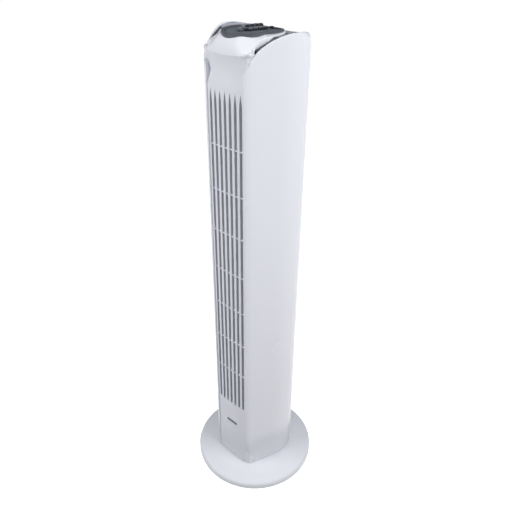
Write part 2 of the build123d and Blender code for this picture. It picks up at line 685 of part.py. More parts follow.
RING_RISE = 0.9  # the bezel ring stands this far above the head cover
RING_LIP = 1.3  # width of the ledge that the control plate rests on
PLATE_UNDERSIDE = PANEL_TOP - PANEL_THICKNESS
KNOB_BOTTOM = PANEL_TOP + 0.1
TIMER_SHAFT_RADIUS = 2.0
with BuildPart() as bezel:
    with BuildSketch(Plane.XY.offset(HEAD_SKIRT)):
        add(oval(BEZEL_WIDTH))
        add(oval(-RING_LIP), mode=Mode.SUBTRACT)
    extrude(amount=40)
    with BuildSketch(Plane.YZ):
        add(crown_view(HEAD_TOP + RING_RISE))
        add(crown_view(PLATE_UNDERSIDE - 2.5), mode=Mode.SUBTRACT)
    extrude(amount=80, both=True, mode=Mode.INTERSECT)
    with BuildPart(mode=Mode.PRIVATE) as plate_recess:
        with BuildSketch(Plane.XY.offset(HEAD_SKIRT)):
            add(oval())
        extrude(amount=40)
        with BuildSketch(Plane.YZ):
            add(crown_view(PLATE_UNDERSIDE))
        extrude(amount=80, both=True, mode=Mode.SUBTRACT)
    add(plate_recess.part, mode=Mode.SUBTRACT)
    add(head.part, mode=Mode.SUBTRACT)
save(bezel, "bezel_ring")

KEY_COUNT = len(KEY_NAMES)
KEY_PLACES = [KEY_BANK_CENTRE + (key - (KEY_COUNT - 1) / 2) * KEY_PITCH for key in range(KEY_COUNT)]
BANK_LENGTH = KEY_COUNT * KEY_PITCH
BANK_WIDTH = KEY_LENGTH + 3
with BuildPart() as control_plate:
    with BuildSketch(Plane.XY.offset(HEAD_SKIRT)):
        add(oval(-0.15))
        with Locations((0, KEY_BANK_CENTRE)):
            RectangleRounded(BANK_WIDTH + 0.3, BANK_LENGTH + 3.3, 4.15, mode=Mode.SUBTRACT)
        with Locations((0, KNOB_CENTRE)):
            Circle(TIMER_SHAFT_RADIUS + 0.6, mode=Mode.SUBTRACT)
        with Locations((0, SWING_BUTTON_CENTRE)):
            Circle(SWING_BUTTON_RADIUS + PANEL_HOLE_GAP, mode=Mode.SUBTRACT)
    extrude(amount=40)
    with BuildSketch(Plane.YZ):
        add(crown_view(PANEL_TOP))
        add(crown_view(PLATE_UNDERSIDE), mode=Mode.SUBTRACT)
    extrude(amount=80, both=True, mode=Mode.INTERSECT)
save(control_plate, "control_plate")

KEY_FRAME_TOP = 734.4
KEY_FRAME_BOTTOM = 727.0
with BuildPart() as key_frame:
    with BuildSketch(Plane.XY.offset(KEY_FRAME_BOTTOM)):
        with Locations((0, KEY_BANK_CENTRE)):
            RectangleRounded(BANK_WIDTH, BANK_LENGTH + 3, 4)
    extrude(amount=KEY_FRAME_TOP - KEY_FRAME_BOTTOM)
    chamfer(key_frame.faces().sort_by(Axis.Z)[-1].edges(), 1.2)
    with BuildSketch(Plane.XY.offset(KEY_FRAME_BOTTOM)):
        for place in KEY_PLACES:
            with Locations((0, place)):
                Rectangle(KEY_LENGTH + 2 * KEY_GAP, KEY_PITCH - 0.8)
    extrude(amount=20, mode=Mode.SUBTRACT)
save(key_frame, "key_frame")

SWITCH_TOP = 722.0
SWITCH_DEPTH = 18.0
PLUNGER_REACH = 4.0  # how far a key's plunger stands in the switch block at rest
KEY_BOTTOM = 731.0
KEY_RISER = 0.8  # half the width of the slope between a key's two halves
for name, place in zip(KEY_NAMES, KEY_PLACES):
    raised = crown_height(place, KEY_TOP)
    low = crown_height(place, KEY_STEP_TOP)
    with BuildPart() as key:
        with BuildSketch(Plane.XZ.offset(-place)):
            with BuildLine(Plane.XZ.offset(-place)):
                half = KEY_LENGTH / 2
                step = ThreePointArc((half, low - 0.6), (half / 2, low), (KEY_RISER, low - 0.5))
                riser = Line(step @ 1, (-KEY_RISER, raised - 0.5))
                ridge = ThreePointArc(riser @ 1, (-half / 2, raised), (-half, raised - 0.6))
                Polyline(ridge @ 1, (-half, KEY_BOTTOM), (half, KEY_BOTTOM), step @ 0)
            make_face()
        extrude(amount=(KEY_PITCH - 0.8) / 2 - KEY_GAP, both=True)
        fillet(key.edges().filter_by(Axis.X, reverse=True).sort_by(Axis.Z)[-2:], 0.4)
        with BuildSketch(Plane.XY.offset(SWITCH_TOP - PLUNGER_REACH)):
            with Locations((0, place)):
                Rectangle(8, 3)
        extrude(amount=KEY_BOTTOM - SWITCH_TOP + PLUNGER_REACH)
    save(key, name)

with BuildPart() as switch_block:
    with BuildSketch(Plane.XY.offset(SWITCH_TOP - SWITCH_DEPTH)):
        with Locations((0, KEY_BANK_CENTRE)):
            Rectangle(30, BANK_LENGTH)
    extrude(amount=SWITCH_DEPTH)
    with BuildSketch(Plane.XY.offset(SWITCH_TOP - 9)):
        for place in KEY_PLACES:
            with Locations((0, place)):
                Rectangle(8.4, 3.4)
    extrude(amount=9, mode=Mode.SUBTRACT)
save(switch_block, "key_switch_block")

SWING_BUTTON_BOTTOM = SWING_BUTTON_TOP - 5.2
with BuildPart() as swing_button:
    with BuildSketch(Plane.XY.offset(SWITCH_TOP - 3)):
        with Locations((0, SWING_BUTTON_CENTRE)):
            Circle(2)
    extrude(amount=SWING_BUTTON_BOTTOM - SWITCH_TOP + 3)
    with BuildSketch(Plane.XY.offset(SWING_BUTTON_BOTTOM)):
        with Locations((0, SWING_BUTTON_CENTRE)):
            Circle(SWING_BUTTON_RADIUS)
    extrude(amount=SWING_BUTTON_TOP - SWING_BUTTON_BOTTOM)
    fillet(swing_button.faces().sort_by(Axis.Z)[-1].edges(), 1)
save(swing_button, "swing_button")

with BuildPart() as swing_switch:
    with BuildSketch(Plane.XY.offset(SWITCH_TOP - 16)):
        with Locations((0, SWING_BUTTON_CENTRE + 2)):
            Rectangle(16, 8)
    extrude(amount=16)
    with BuildSketch(Plane.XY.offset(SWITCH_TOP - 9)):
        with Locations((0, SWING_BUTTON_CENTRE)):
            Circle(2.2)
    extrude(amount=9, mode=Mode.SUBTRACT)
save(swing_switch, "swing_switch")

with BuildPart() as knob:
    with BuildSketch(Plane.XY.offset(KNOB_BOTTOM)):
        with Locations((0, KNOB_CENTRE)):
            Circle(KNOB_RADIUS)
    extrude(amount=KNOB_TOP - KNOB_BOTTOM, taper=4)
    fillet(knob.faces().sort_by(Axis.Z)[-1].edges(), 0.9)
    with BuildSketch(Plane.XY.offset(PANEL_TOP - 8)):
        with Locations((0, KNOB_CENTRE)):
            Circle(TIMER_SHAFT_RADIUS)
    extrude(amount=KNOB_BOTTOM - PANEL_TOP + 8)
    with BuildSketch(Plane.XY.offset(KNOB_TOP - 0.8)):
        with Locations((0, KNOB_CENTRE - 1.9)):
            SlotOverall(2.4, 0.9, rotation=90)
    extrude(amount=3, mode=Mode.SUBTRACT)
save(knob, "timer_knob")

with BuildPart() as timer:
    with BuildSketch(Plane.XY.offset(PANEL_TOP - 26)):
        with Locations((0, KNOB_CENTRE - 2.5)):
            RectangleRounded(30, 18, 3)
    extrude(amount=17)
    with BuildSketch(Plane.XY.offset(PANEL_TOP - 9)):
        with Locations((0, KNOB_CENTRE)):
            Circle(TIMER_SHAFT_RADIUS + RUNNING_GAP + 1.5)
    extrude(amount=5)
    with BuildSketch(Plane.XY.offset(PANEL_TOP - 9)):
        with Locations((0, KNOB_CENTRE)):
            Circle(TIMER_SHAFT_RADIUS + RUNNING_GAP)
    extrude(amount=20, mode=Mode.SUBTRACT)
save(timer, "timer_unit")

# ---- blower -------------------------------------------------------------------------------------
with BuildPart() as impeller:
    bay = (IMPELLER_TOP - IMPELLER_BOTTOM - DISC_THICKNESS) / BAY_COUNT
    with BuildSketch(Plane.XY.offset(IMPELLER_BOTTOM + DISC_THICKNESS / 2)):
        for blade in range(BLADE_COUNT):
            turn = 360 / BLADE_COUNT * blade
            inner = Vector(BLADE_INNER, 0).rotate(Axis.Z, turn)
            outer = Vector(IMPELLER_RADIUS - 0.4, 0).rotate(Axis.Z, turn + 9)
            with BuildLine(mode=Mode.PRIVATE) as camber:
                RadiusArc(
                    (inner.X, inner.Y + AXIS_Y),
                    (outer.X, outer.Y + AXIS_Y),
                    9,
                )
            trace(camber.line, line_width=BLADE_THICKNESS)
    extrude(amount=IMPELLER_TOP - IMPELLER_BOTTOM - DISC_THICKNESS)
    for disc in range(BAY_COUNT + 1):
        with BuildSketch(Plane.XY.offset(IMPELLER_BOTTOM + disc * bay)):
            with Locations((0, AXIS_Y)):
                Circle(IMPELLER_RADIUS)
                if 0 < disc < BAY_COUNT:
                    Circle(BLADE_INNER - 1.5, mode=Mode.SUBTRACT)
        extrude(amount=DISC_THICKNESS)
    with BuildSketch(Plane.XY.offset(IMPELLER_BOTTOM - 4)):
        with Locations((0, AXIS_Y)):
            Circle(12)
    extrude(amount=16)
    with BuildSketch(Plane.XY.offset(IMPELLER_BOTTOM - 4)):
        with Locations((0, AXIS_Y)):
            Circle(9)
    extrude(amount=14, mode=Mode.SUBTRACT)
    with BuildSketch(Plane.XY.offset(IMPELLER_TOP - 10)):
        with Locations((0, AXIS_Y)):
            Circle(7)
            Circle(3, mode=Mode.SUBTRACT)
    extrude(amount=10)
    with BuildSketch(Plane.XY.offset(IMPELLER_TOP - 10)):
        with Locations((0, AXIS_Y)):
            Circle(3)
    extrude(amount=20, mode=Mode.SUBTRACT)
save(impeller, "impeller")


def round_piece(label, bottom, height, radius, bore=0.0, x=0.0, y=AXIS_Y):
    """A plain ring or disc about an upright axis, saved under its label."""
    with BuildPart() as piece:
        with BuildSketch(Plane.XY.offset(bottom)):
            with Locations((x, y)):
                Circle(radius)
                if bore:
                    Circle(bore, mode=Mode.SUBTRACT)
        extrude(amount=height)
        chamfer(piece.faces().filter_by(Plane.XY).edges(), min(0.3, height / 4))
    save(piece, label)


round_piece("impeller_bush", IMPELLER_BOTTOM - 4, 14, 9, SHAFT_RADIUS)
round_piece("top_axle", IMPELLER_TOP - 10, 26, 3)
round_piece("rotor", STATOR_BOTTOM, STATOR_HEIGHT, ROTOR_RADIUS, SHAFT_RADIUS)
round_piece("motor_shaft", SHELF_TOP + 1.5, IMPELLER_BOTTOM + 9 - SHELF_TOP - 1.5, SHAFT_RADIUS)

with BuildPart() as motor_shelf:
    with BuildSketch(Plane.XY.offset(SHELF_BOTTOM)):
        add(column_plan(INNER))
        with Locations((0, AXIS_Y)):
            Circle(10, mode=Mode.SUBTRACT)
        with BuildSketch(mode=Mode.SUBTRACT):
            add(ring_plan(WALL, 6.6))
            with Locations((0, -60)):
                Rectangle(2 * FRONT_SEAM + 6.4, 60, mode=Mode.INTERSECT)
        with BuildSketch(mode=Mode.SUBTRACT):
            add(ring_plan(WALL, 5.6))
            with Locations((0, 60)):
                Rectangle(2 * REAR_SEAM + 6.4, 60, mode=Mode.INTERSECT)
    extrude(amount=SHELF_THICKNESS)
save(motor_shelf, "motor_shelf")

for label, bottom, cap in (
    ("motor_bell_lower", SHELF_TOP, SHELF_TOP),
    ("motor_bell_upper", STATOR_TOP, STATOR_TOP + BELL_HEIGHT - 2),
):
    with BuildPart() as bell:
        with BuildSketch(Plane.XY.offset(bottom)):
            with Locations((0, AXIS_Y)):
                Circle(29)
                Circle(27, mode=Mode.SUBTRACT)
        extrude(amount=BELL_HEIGHT)
        with BuildSketch(Plane.XY.offset(cap)):
            with Locations((0, AXIS_Y)):
                Circle(27.5)
        extrude(amount=2)
        seat = bottom if cap == bottom else STATOR_TOP + BELL_HEIGHT - 8
        with BuildSketch(Plane.XY.offset(seat)):
            with Locations((0, AXIS_Y)):
                Circle(10)
        extrude(amount=8)
        with BuildSketch(Plane.XY.offset(seat)):
            with Locations((0, AXIS_Y)):
                Circle(7.5)
        extrude(amount=8, mode=Mode.SUBTRACT)
        with BuildSketch(Plane.XY.offset(bottom)):
            with Locations((0, AXIS_Y)):
                with PolarLocations(28, 8):
                    Circle(3.2)
        extrude(amount=BELL_HEIGHT, mode=Mode.SUBTRACT)
    save(bell, label)
    round_piece(label.replace("bell", "bearing"), seat + 0.5, 7, 7.5, SHAFT_RADIUS + RUNNING_GAP)

with BuildPart() as stator:
    with BuildSketch(Plane.XY.offset(STATOR_BOTTOM)):
        with Locations((0, AXIS_Y)):
            RectangleRounded(STATOR_SIZE, STATOR_SIZE, 6)
            Circle(ROTOR_RADIUS + 0.5, mode=Mode.SUBTRACT)
    extrude(amount=STATOR_HEIGHT)
save(stator, "stator_core")

with BuildPart() as windings:
    for bottom in (STATOR_BOTTOM - 6, STATOR_TOP):
        with BuildSketch(Plane.XY.offset(bottom)):
            with Locations((0, AXIS_Y)):
                Circle(24.5)
                Circle(ROTOR_RADIUS + 1, mode=Mode.SUBTRACT)
        extrude(amount=6)
save(windings, "stator_windings")

round_piece("motor_capacitor", SHELF_TOP, 32, 9, x=42.5, y=12)

with BuildPart() as terminals:
    with BuildSketch(Plane.XY.offset(SHELF_TOP)):
        with Locations((-43, 12)):
            Rectangle(14, 26)
    extrude(amount=12)
    with BuildSketch(Plane.XY.offset(SHELF_TOP + 8)):
        with Locations((-43, 12)):
            with GridLocations(1, 6, 1, 4):
                Circle(2)
    extrude(amount=4, mode=Mode.SUBTRACT)
save(terminals, "terminal_block")


def scroll_end(label, bottom, bore):
    """An end plate of the blower duct, with the impeller's bore."""
    with BuildPart() as plate:
        with BuildSketch(Plane.XY.offset(bottom)):
            add(column_plan(8))
            with Locations((0, AXIS_Y)):
                Circle(bore, mode=Mode.SUBTRACT)
            with Locations((0, -80)):
                Rectangle(80, 2 * (80 - 49.5), mode=Mode.SUBTRACT)
        extrude(amount=3)
    save(plate, label)


scroll_end("duct_floor", SCROLL_BOTTOM, 15)
scroll_end("duct_ceiling", SCROLL_TOP, 11)

with BuildPart() as scroll:
    with BuildSketch(Plane.XY.offset(SCROLL_BOTTOM + 3)):
        with BuildLine(mode=Mode.PRIVATE) as wall:
            Spline((-30, 34), (-44, 12), (-43, -14), (-33, -47), tangents=((-0.7, -0.7), (0.35, -1)))
        trace(wall.line, line_width=1.8)
    extrude(amount=SCROLL_TOP - SCROLL_BOTTOM - 3)
save(scroll, "scroll_wall")

with BuildPart() as tongue:
    with BuildSketch(Plane.XY.offset(SCROLL_BOTTOM + 3)):
        with BuildLine(mode=Mode.PRIVATE) as wall:
            FilletPolyline((33, -47), (29.5, -20.5), (44, -12), radius=3)
        trace(wall.line, line_width=1.8)
    extrude(amount=SCROLL_TOP - SCROLL_BOTTOM - 3)
save(tongue, "duct_tongue")

round_piece("bearing_cushion", SCROLL_TOP, 9, 11, 7.5)
round_piece("top_bearing", SCROLL_TOP + 0.5, 8, 7.5, 3 + RUNNING_GAP)

# ---- cord inlet and fasteners -------------------------------------------------------------------
with BuildPart() as gland:
    with BuildSketch(Plane.XZ.offset(-54)):
        with Locations((0, 40)):
            Circle(5)
    extrude(amount=-8)
    with BuildSketch(Plane.XZ.offset(-59.4)):
        with Locations((0, 40)):
            Circle(7)
    extrude(amount=-2.6)
    with BuildSketch(Plane.XZ.offset(-54)):
        with Locations((0, 40)):
            Circle(3.2)
    extrude(amount=-12, mode=Mode.SUBTRACT)
save(gland, "cord_inlet")

with BuildPart() as casing_screws:
    for radius, depth in ((SCREW_HEAD, -1.4), (SCREW_CORE, 7)):
        with BuildSketch(Plane.XZ.offset(-REAR_SCREW_FACE)):
            for height in REAR_SCREW_HEIGHTS:
                with Locations((-REAR_SCREW_ACROSS, height), (REAR_SCREW_ACROSS, height)):
                    Circle(radius)
        extrude(amount=depth)
save(casing_screws, "casing_screws")
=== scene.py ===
"""Tower fan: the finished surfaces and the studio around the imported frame.

Everything is in the frame's axes: +Z up, the grille faces -Y, the origin on the floor under the base.
Shapes are worked out in millimetres and become metres when their mesh is made.
"""

from math import asin, atan2, cos, hypot, pi, radians, sin, sqrt

import bmesh
import bpy
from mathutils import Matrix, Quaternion, Vector


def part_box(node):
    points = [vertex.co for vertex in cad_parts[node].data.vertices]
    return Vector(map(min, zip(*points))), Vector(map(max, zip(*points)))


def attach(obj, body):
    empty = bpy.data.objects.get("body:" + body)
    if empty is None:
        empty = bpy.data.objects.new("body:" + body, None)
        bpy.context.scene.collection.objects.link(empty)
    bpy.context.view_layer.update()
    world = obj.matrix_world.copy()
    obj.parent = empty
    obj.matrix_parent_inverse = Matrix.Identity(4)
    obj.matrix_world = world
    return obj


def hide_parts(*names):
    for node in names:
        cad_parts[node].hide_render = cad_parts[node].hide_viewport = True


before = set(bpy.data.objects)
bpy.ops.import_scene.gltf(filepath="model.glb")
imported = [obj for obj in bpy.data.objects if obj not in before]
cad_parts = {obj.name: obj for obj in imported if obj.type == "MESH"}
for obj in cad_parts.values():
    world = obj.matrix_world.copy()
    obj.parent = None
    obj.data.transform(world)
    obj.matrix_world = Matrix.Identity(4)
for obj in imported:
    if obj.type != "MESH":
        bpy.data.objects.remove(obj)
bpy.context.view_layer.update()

MM = 0.001

# ---- driving sizes, in millimetres ---------------------------------------------------------------
# Column plan, walked from the middle of the front to the middle of the back: radius, turn in degrees
COLUMN_FRONT = 60.0
FRONT_RADIUS = 282.0
CORNER_RADIUS = 9.0
SIDE_RADIUS = 84.0
SHOULDER_RADIUS = 38.0
FRONT_TURN = 6.5
CORNER_TURN = 61.7
FLANK_LENGTH = 40.0
SIDE_TURN = 21.8
SHOULDER_TURN = 60.0
BACK_TURN = 30.0
WALL = 2.6
FRONT_SEAM = 31.6
REAR_SEAM = 40.0

# Casing and head outlines as seen from the side
CASING_FRONT = 58.7
CASING_SHOULDER = 688.0
CASING_ARCS = ((38.0, 52.0), (76.0, 38.0), (157.0, 19.4), (8.0, 70.6))  # radius and turn, front to back
HEAD_TOP = 733.6
CROWN_RADIUS = 420.0
CREST = -25.0
CROWN_FALL = 2.1  # how much lower the head cover lies at the sides of the bezel ring
HEAD_CORNER = -40.0
BROW_FRONT = -59.5
BROW_HEIGHT = 711.0
CAP_INSET = 10.5
CAP_CENTRE = -30.0
CAP_HALF_WIDTH = 40.0
CAP_HALF_LENGTH = 68.0

# Grille
GRILLE_RECESS = 1.5
SLOT_COUNT = 7
SLOT_PITCH = 8.5
SLOT_HALF = 2.15
SLOT_BOTTOM = 147.0
SLOT_TOP = 668.0
SLOT_POINT = 16.0
SLAT_DEPTH = 7.0
PANEL_WALL = 2.4
RIB_COUNT = 7
RIB_FIRST = 219.0
RIB_PITCH = 62.9
RIB_HEIGHT = 1.8
SCOOP_START = 671.0
SCOOP_DEEPEST = 691.0
SCOOP_DEPTH = 4.5
SCOOP_LIP = 1.7

# Rear intake
REAR_SLOT_COUNT = 9
REAR_SLOT_PITCH = 7.6
REAR_SLOT_HALF = 2.0

# Control panel
PANEL_CENTRE = -8.0
PANEL_HALF_LENGTH = 38.5
PANEL_HALF_WIDTH = 27.0
BEZEL_WIDTH = 6.0
RING_RISE = 0.9

# Blower
AXIS_Y = 8.0
BLADE_COUNT = 24
BAY_COUNT = 5


# ---- meshes --------------------------------------------------------------------------------------
def piece(name, points, faces, finish, smooth=38):
    """A mesh object from points in millimetres, merged, facing outwards and smooth below an angle."""
    mesh = bpy.data.meshes.new(name)
    mesh.from_pydata([(x * MM, y * MM, z * MM) for x, y, z in points], [], faces)
    work = bmesh.new()
    work.from_mesh(mesh)
    bmesh.ops.remove_doubles(work, verts=work.verts, dist=1e-6)
    bmesh.ops.dissolve_degenerate(work, edges=work.edges, dist=1e-7)
    bmesh.ops.recalc_face_normals(work, faces=work.faces)
    work.to_mesh(mesh)
    work.free()
    mesh.shade_smooth()
    mesh.set_sharp_from_angle(angle=radians(smooth))
    mesh.materials.append(finish)
    made = bpy.data.objects.new(name, mesh)
    bpy.context.scene.collection.objects.link(made)
    return made


def grid_faces(rows, columns, round_columns=False, round_rows=False):
    """Quads of a grid of rows by columns, either way closed into a loop."""
    faces = []
    for row in range(rows if round_rows else rows - 1):
        for column in range(columns if round_columns else columns - 1):
            over = (column + 1) % columns
            up = (row + 1) % rows
            faces.append(
                (row * columns + column, row * columns + over, up * columns + over, up * columns + column)
            )
    return faces


def lathe(name, profile, finish, centre=(0, 0), segments=96, closed=True, smooth=38):
    """Turn a profile of (radius, height) about an upright axis."""
    points = [
        (
            centre[0] + radius * cos(2 * pi * turn / segments),
            centre[1] + radius * sin(2 * pi * turn / segments),
            z,
        )
        for radius, z in profile
        for turn in range(segments)
    ]
    return piece(name, points, grid_faces(len(profile), segments, True, closed), finish, smooth)


def arc(centre, radius, start, end, steps):
    """Points of an arc, in degrees, as (x, y)."""
    return [
        (
            centre[0] + radius * cos(radians(start + (end - start) * step / steps)),
            centre[1] + radius * sin(radians(start + (end - start) * step / steps)),
        )
        for step in range(steps + 1)
    ]


def ease(value):
    """Smooth step from 0 to 1."""
    value = min(max(value, 0.0), 1.0)
    return value * value * (3 - 2 * value)


def bevel(made, width, segments=2, angle=40):
    """Round the sharp edges of a piece by a width in millimetres."""
    rounding = made.modifiers.new("rounded edges", "BEVEL")
    rounding.width = width * MM
    rounding.segments = segments
    rounding.limit_method = "ANGLE"
    rounding.angle_limit = radians(angle)
    rounding.harden_normals = True


def settle(made):
    """Apply a piece's modifiers, so that its mesh is plain."""
    plain = bpy.data.meshes.new_from_object(made.evaluated_get(bpy.context.evaluated_depsgraph_get()))
    made.modifiers.clear()
    old, made.data = made.data, plain
    plain.name = made.name
    bpy.data.meshes.remove(old)
    return made


def thicken(made, width, offset=-1):
    """Give an open sheet a thickness in millimetres, below its upper face or as the offset says."""
    if sum(face.normal.z * face.area for face in made.data.polygons) < 0:
        made.data.flip_normals()
    wall = made.modifiers.new("wall", "SOLIDIFY")
    wall.thickness = width * MM
    wall.offset = offset


def cut(made, *cutters):
    """Take cutters away from a piece and remove them."""
    for cutter in cutters:
        away = made.modifiers.new("cut", "BOOLEAN")
        away.operation = "DIFFERENCE"
        away.object = cutter
        away.solver = "EXACT"
    settle(made)
    for cutter in cutters:
        bpy.data.objects.remove(cutter)


def join(name, *made):
    """Join pieces into the first one and name it."""
    work = bmesh.new()
    for part in made:
        work.from_mesh(part.data)
    work.to_mesh(made[0].data)
    work.free()
    for part in made[1:]:
        bpy.data.objects.remove(part)
    made[0].name = made[0].data.name = name
    return made[0]


# ---- geometry nodes ------------------------------------------------------------------------------
def node(tree, kind, settings=None, **inputs):
    """Add a node to a tree with its settings, and its inputs as values or links."""
    added = tree.nodes.new(kind)
    for key, value in (settings or {}).items():
        setattr(added, key, value)
    for key, value in inputs.items():
        socket = added.inputs[int(key[1:]) if key[0] == "i" and key[1:].isdigit() else key.replace("_", " ")]
        if isinstance(value, bpy.types.NodeSocket):
            tree.links.new(value, socket)
        else:
            socket.default_value = value
    return added


def repeat_tree():
    """Copies of a piece, each one step along and one turn about Z from the one before."""
    tree = bpy.data.node_groups.new("repeat a piece", "GeometryNodeTree")
    ports = tree.interface
    ports.new_socket("Geometry", in_out="INPUT", socket_type="NodeSocketGeometry")
    for label, kind in (
        ("Piece", "NodeSocketObject"),
        ("Count", "NodeSocketInt"),
        ("Start", "NodeSocketVector"),
        ("Step", "NodeSocketVector"),
        ("Turn", "NodeSocketFloat"),
        ("Finish", "NodeSocketMaterial"),
    ):
        ports.new_socket(label, in_out="INPUT", socket_type=kind)
    ports.new_socket("Geometry", in_out="OUTPUT", socket_type="NodeSocketGeometry")
    given = node(tree, "NodeGroupInput").outputs
    line = node(
        tree,
        "GeometryNodeMeshLine",
        {"mode": "OFFSET"},
        Count=given["Count"],
        Start_Location=given["Start"],
        Offset=given["Step"],
    )
    index = node(tree, "GeometryNodeInputIndex")
    angle = node(tree, "ShaderNodeMath", {"operation": "MULTIPLY"}, i0=index.outputs[0], i1=given["Turn"])
    spin = node(tree, "ShaderNodeCombineXYZ", Z=angle.outputs[0])
    source = node(tree, "GeometryNodeObjectInfo", Object=given["Piece"])
    copies = node(
        tree,
        "GeometryNodeInstanceOnPoints",
        Points=line.outputs[0],
        Instance=source.outputs["Geometry"],
        Rotation=spin.outputs[0],
    )
    real = node(tree, "GeometryNodeRealizeInstances", Geometry=copies.outputs[0])
    finished = node(tree, "GeometryNodeSetMaterial", Geometry=real.outputs[0], Material=given["Finish"])
    result = tree.nodes.new("NodeGroupOutput")
    tree.links.new(finished.outputs[0], result.inputs[0])
    return tree


REPEAT = repeat_tree()


def repeated(name, pattern, count, finish, start=(0, 0, 0), step=(0, 0, 0), turn=0.0):
    """A piece of many copies, placed in millimetres and turned in degrees; the pattern is used up."""
    made = bpy.data.objects.new(name, bpy.data.meshes.new(name))
    bpy.context.scene.collection.objects.link(made)
    maker = made.modifiers.new("repeat", "NODES")
    maker.node_group = REPEAT
    values = {
        "Piece": pattern,
        "Count": count,
        "Start": [value * MM for value in start],
        "Step": [value * MM for value in step],
        "Turn": radians(turn),
        "Finish": finish,
    }
    for socket in REPEAT.interface.items_tree:
        if socket.name in values:
            maker[socket.identifier] = values[socket.name]
    settle(made)
    bpy.data.objects.remove(pattern)
    return made


# ---- materials -----------------------------------------------------------------------------------
def colour(code):
    """A colour from an sRGB hex code, as linear values."""
    parts = [int(code[place : place + 2], 16) / 255 for place in (0, 2, 4)]
    return [part / 12.92 if part <= 0.04045 else ((part + 0.055) / 1.055) ** 2.4 for part in parts] + [1.0]


def finish(name, dark, light, patch, rough, grain=None, grain_depth=0.0, **fixed):
    """A moulded or metal surface: colour and roughness drift over patches, and a fine grain.

    patch and grain are sizes in millimetres, rough is the lowest and highest roughness.
    """
    made = bpy.data.materials.new(name)
    made.use_nodes = True
    tree = made.node_tree
    shader = tree.nodes["Principled BSDF"]
    place = node(tree, "ShaderNodeTexCoord").outputs["Object"]
    drift = node(tree, "ShaderNodeTexNoise", Vector=place, Scale=1 / (patch * MM), Detail=3.0)
    mix = node(tree, "ShaderNodeMix", {"data_type": "RGBA"}, Factor=drift.outputs["Fac"])
    mix.inputs["A"].default_value = colour(dark)
    mix.inputs["B"].default_value = colour(light)
    tree.links.new(mix.outputs["Result"], shader.inputs["Base Color"])
    spread = node(
        tree, "ShaderNodeMapRange", Value=drift.outputs["Fac"],
        From_Min=0.3, From_Max=0.7, To_Min=rough[0], To_Max=rough[1]
    )
    tree.links.new(spread.outputs[0], shader.inputs["Roughness"])
    if grain:
        fine = node(tree, "ShaderNodeTexNoise", Vector=place, Scale=1 / (grain * MM), Detail=2.0)
        bump = node(
            tree, "ShaderNodeBump", Height=fine.outputs["Fac"], Strength=1.0, Distance=grain_depth * MM
        )
        tree.links.new(bump.outputs[0], shader.inputs["Normal"])
    for key, value in fixed.items():
        shader.inputs[key.replace("_", " ")].default_value = value
    return made


# ABS from a polished mould: an even cool white, a clear highlight that ripples slightly
white_abs = finish("abs_moulded_gloss_white", "EBEDF4", "F1F2F7", 110, (0.25, 0.28), 2.2, 0.008, IOR=1.54)
# The same ABS on the grille, where the draw of the mould leaves it a little duller
grille_abs = finish("abs_moulded_semi_gloss_white", "E2E4EC", "EAEBF1", 70, (0.33, 0.38), 1.4, 0.01, IOR=1.54)
# The same ABS, pressed against a textured tool on the base, with a soft broad highlight
base_abs = finish("abs_moulded_gloss_base", "E3E5EC", "EAEBF0", 90, (0.18, 0.22), 3.0, 0.008, IOR=1.54)
# Satin lacquer on the control plate: a cool grey-green that darkens over broad areas
grey_lacquer = finish(
    "lacquer_sprayed_satin_grey", "5F686F", "767F86", 26, (0.36, 0.42), 0.6, 0.01, Coat_Weight=0.2
)
# Dark grey ABS trim with a gloss that picks up the light along its rounded edges; also laid on the collar's
# front groove as painted shade
grey_trim_and_groove_shade = finish("abs_moulded_gloss_grey", "50515A", "5E5F68", 24, (0.3, 0.36), 0.8, 0.01, IOR=1.54)
# Painted shade and reflection: the collar's open deck is a lighter grey that stands in for the shade and
# grazing reflection on the head's rear top, dulled by the tool's fine texture
painted_shade_deck_grey = finish("abs_moulded_satin_grey", "A3A4AE", "AEB0B8", 30, (0.38, 0.44), 0.9, 0.01, IOR=1.54)
# Near-black ABS of the key surround and the swing button; also laid on each key's riser as painted shade and
# reflection
black_trim_and_key_shade = finish("abs_moulded_gloss_black", "17191D", "22252A", 12, (0.14, 0.26), 0.8, 0.008, IOR=1.54)
# Satin chrome plate on plastic keys: bright, slightly clouded
satin_chrome = finish("chrome_plated_satin", "C9CAD4", "E4E5EC", 9, (0.16, 0.3), 0.5, 0.006, Metallic=1.0)
# Fine matt black moulding of the hidden works
matt_black = finish("polypropylene_moulded_matt_black", "17181A", "212225", 15, (0.5, 0.65), 0.7, 0.03)
# The blower's dark grey moulding, seen through the slots
blower_grey = finish("polypropylene_moulded_grey", "54555B", "64656B", 25, (0.45, 0.6), 0.7, 0.02)
# Unpolished white moulding inside the casing
inner_white = finish("abs_moulded_unpolished_white", "DDDEDD", "E6E6E4", 30, (0.45, 0.55), 0.9, 0.03)
# Turned acetal: creamy white and waxy
acetal = finish("acetal_turned", "E3DFD0", "EDEADF", 10, (0.35, 0.45), 0.5, 0.01)
# Moulded rubber of the feet and cushions
rubber = finish("rubber_moulded", "1B1B1C", "262627", 8, (0.7, 0.85), 0.5, 0.04)
# Zinc plated steel: pale, faintly spangled
zinc_steel = finish("steel_zinc_plated", "A9ADB1", "C2C5C8", 4, (0.28, 0.42), 0.6, 0.01, Metallic=1.0)
# Sintered bronze bushes: brown, dull with oil
bronze = finish("bronze_sintered", "7D6038", "97764A", 2, (0.45, 0.6), 0.3, 0.03, Metallic=1.0)
# Enamelled copper wire in tight turns
copper = finish("copper_enamelled", "A4592B", "C1763D", 1.2, (0.25, 0.4), 0.5, 0.15, Metallic=1.0)

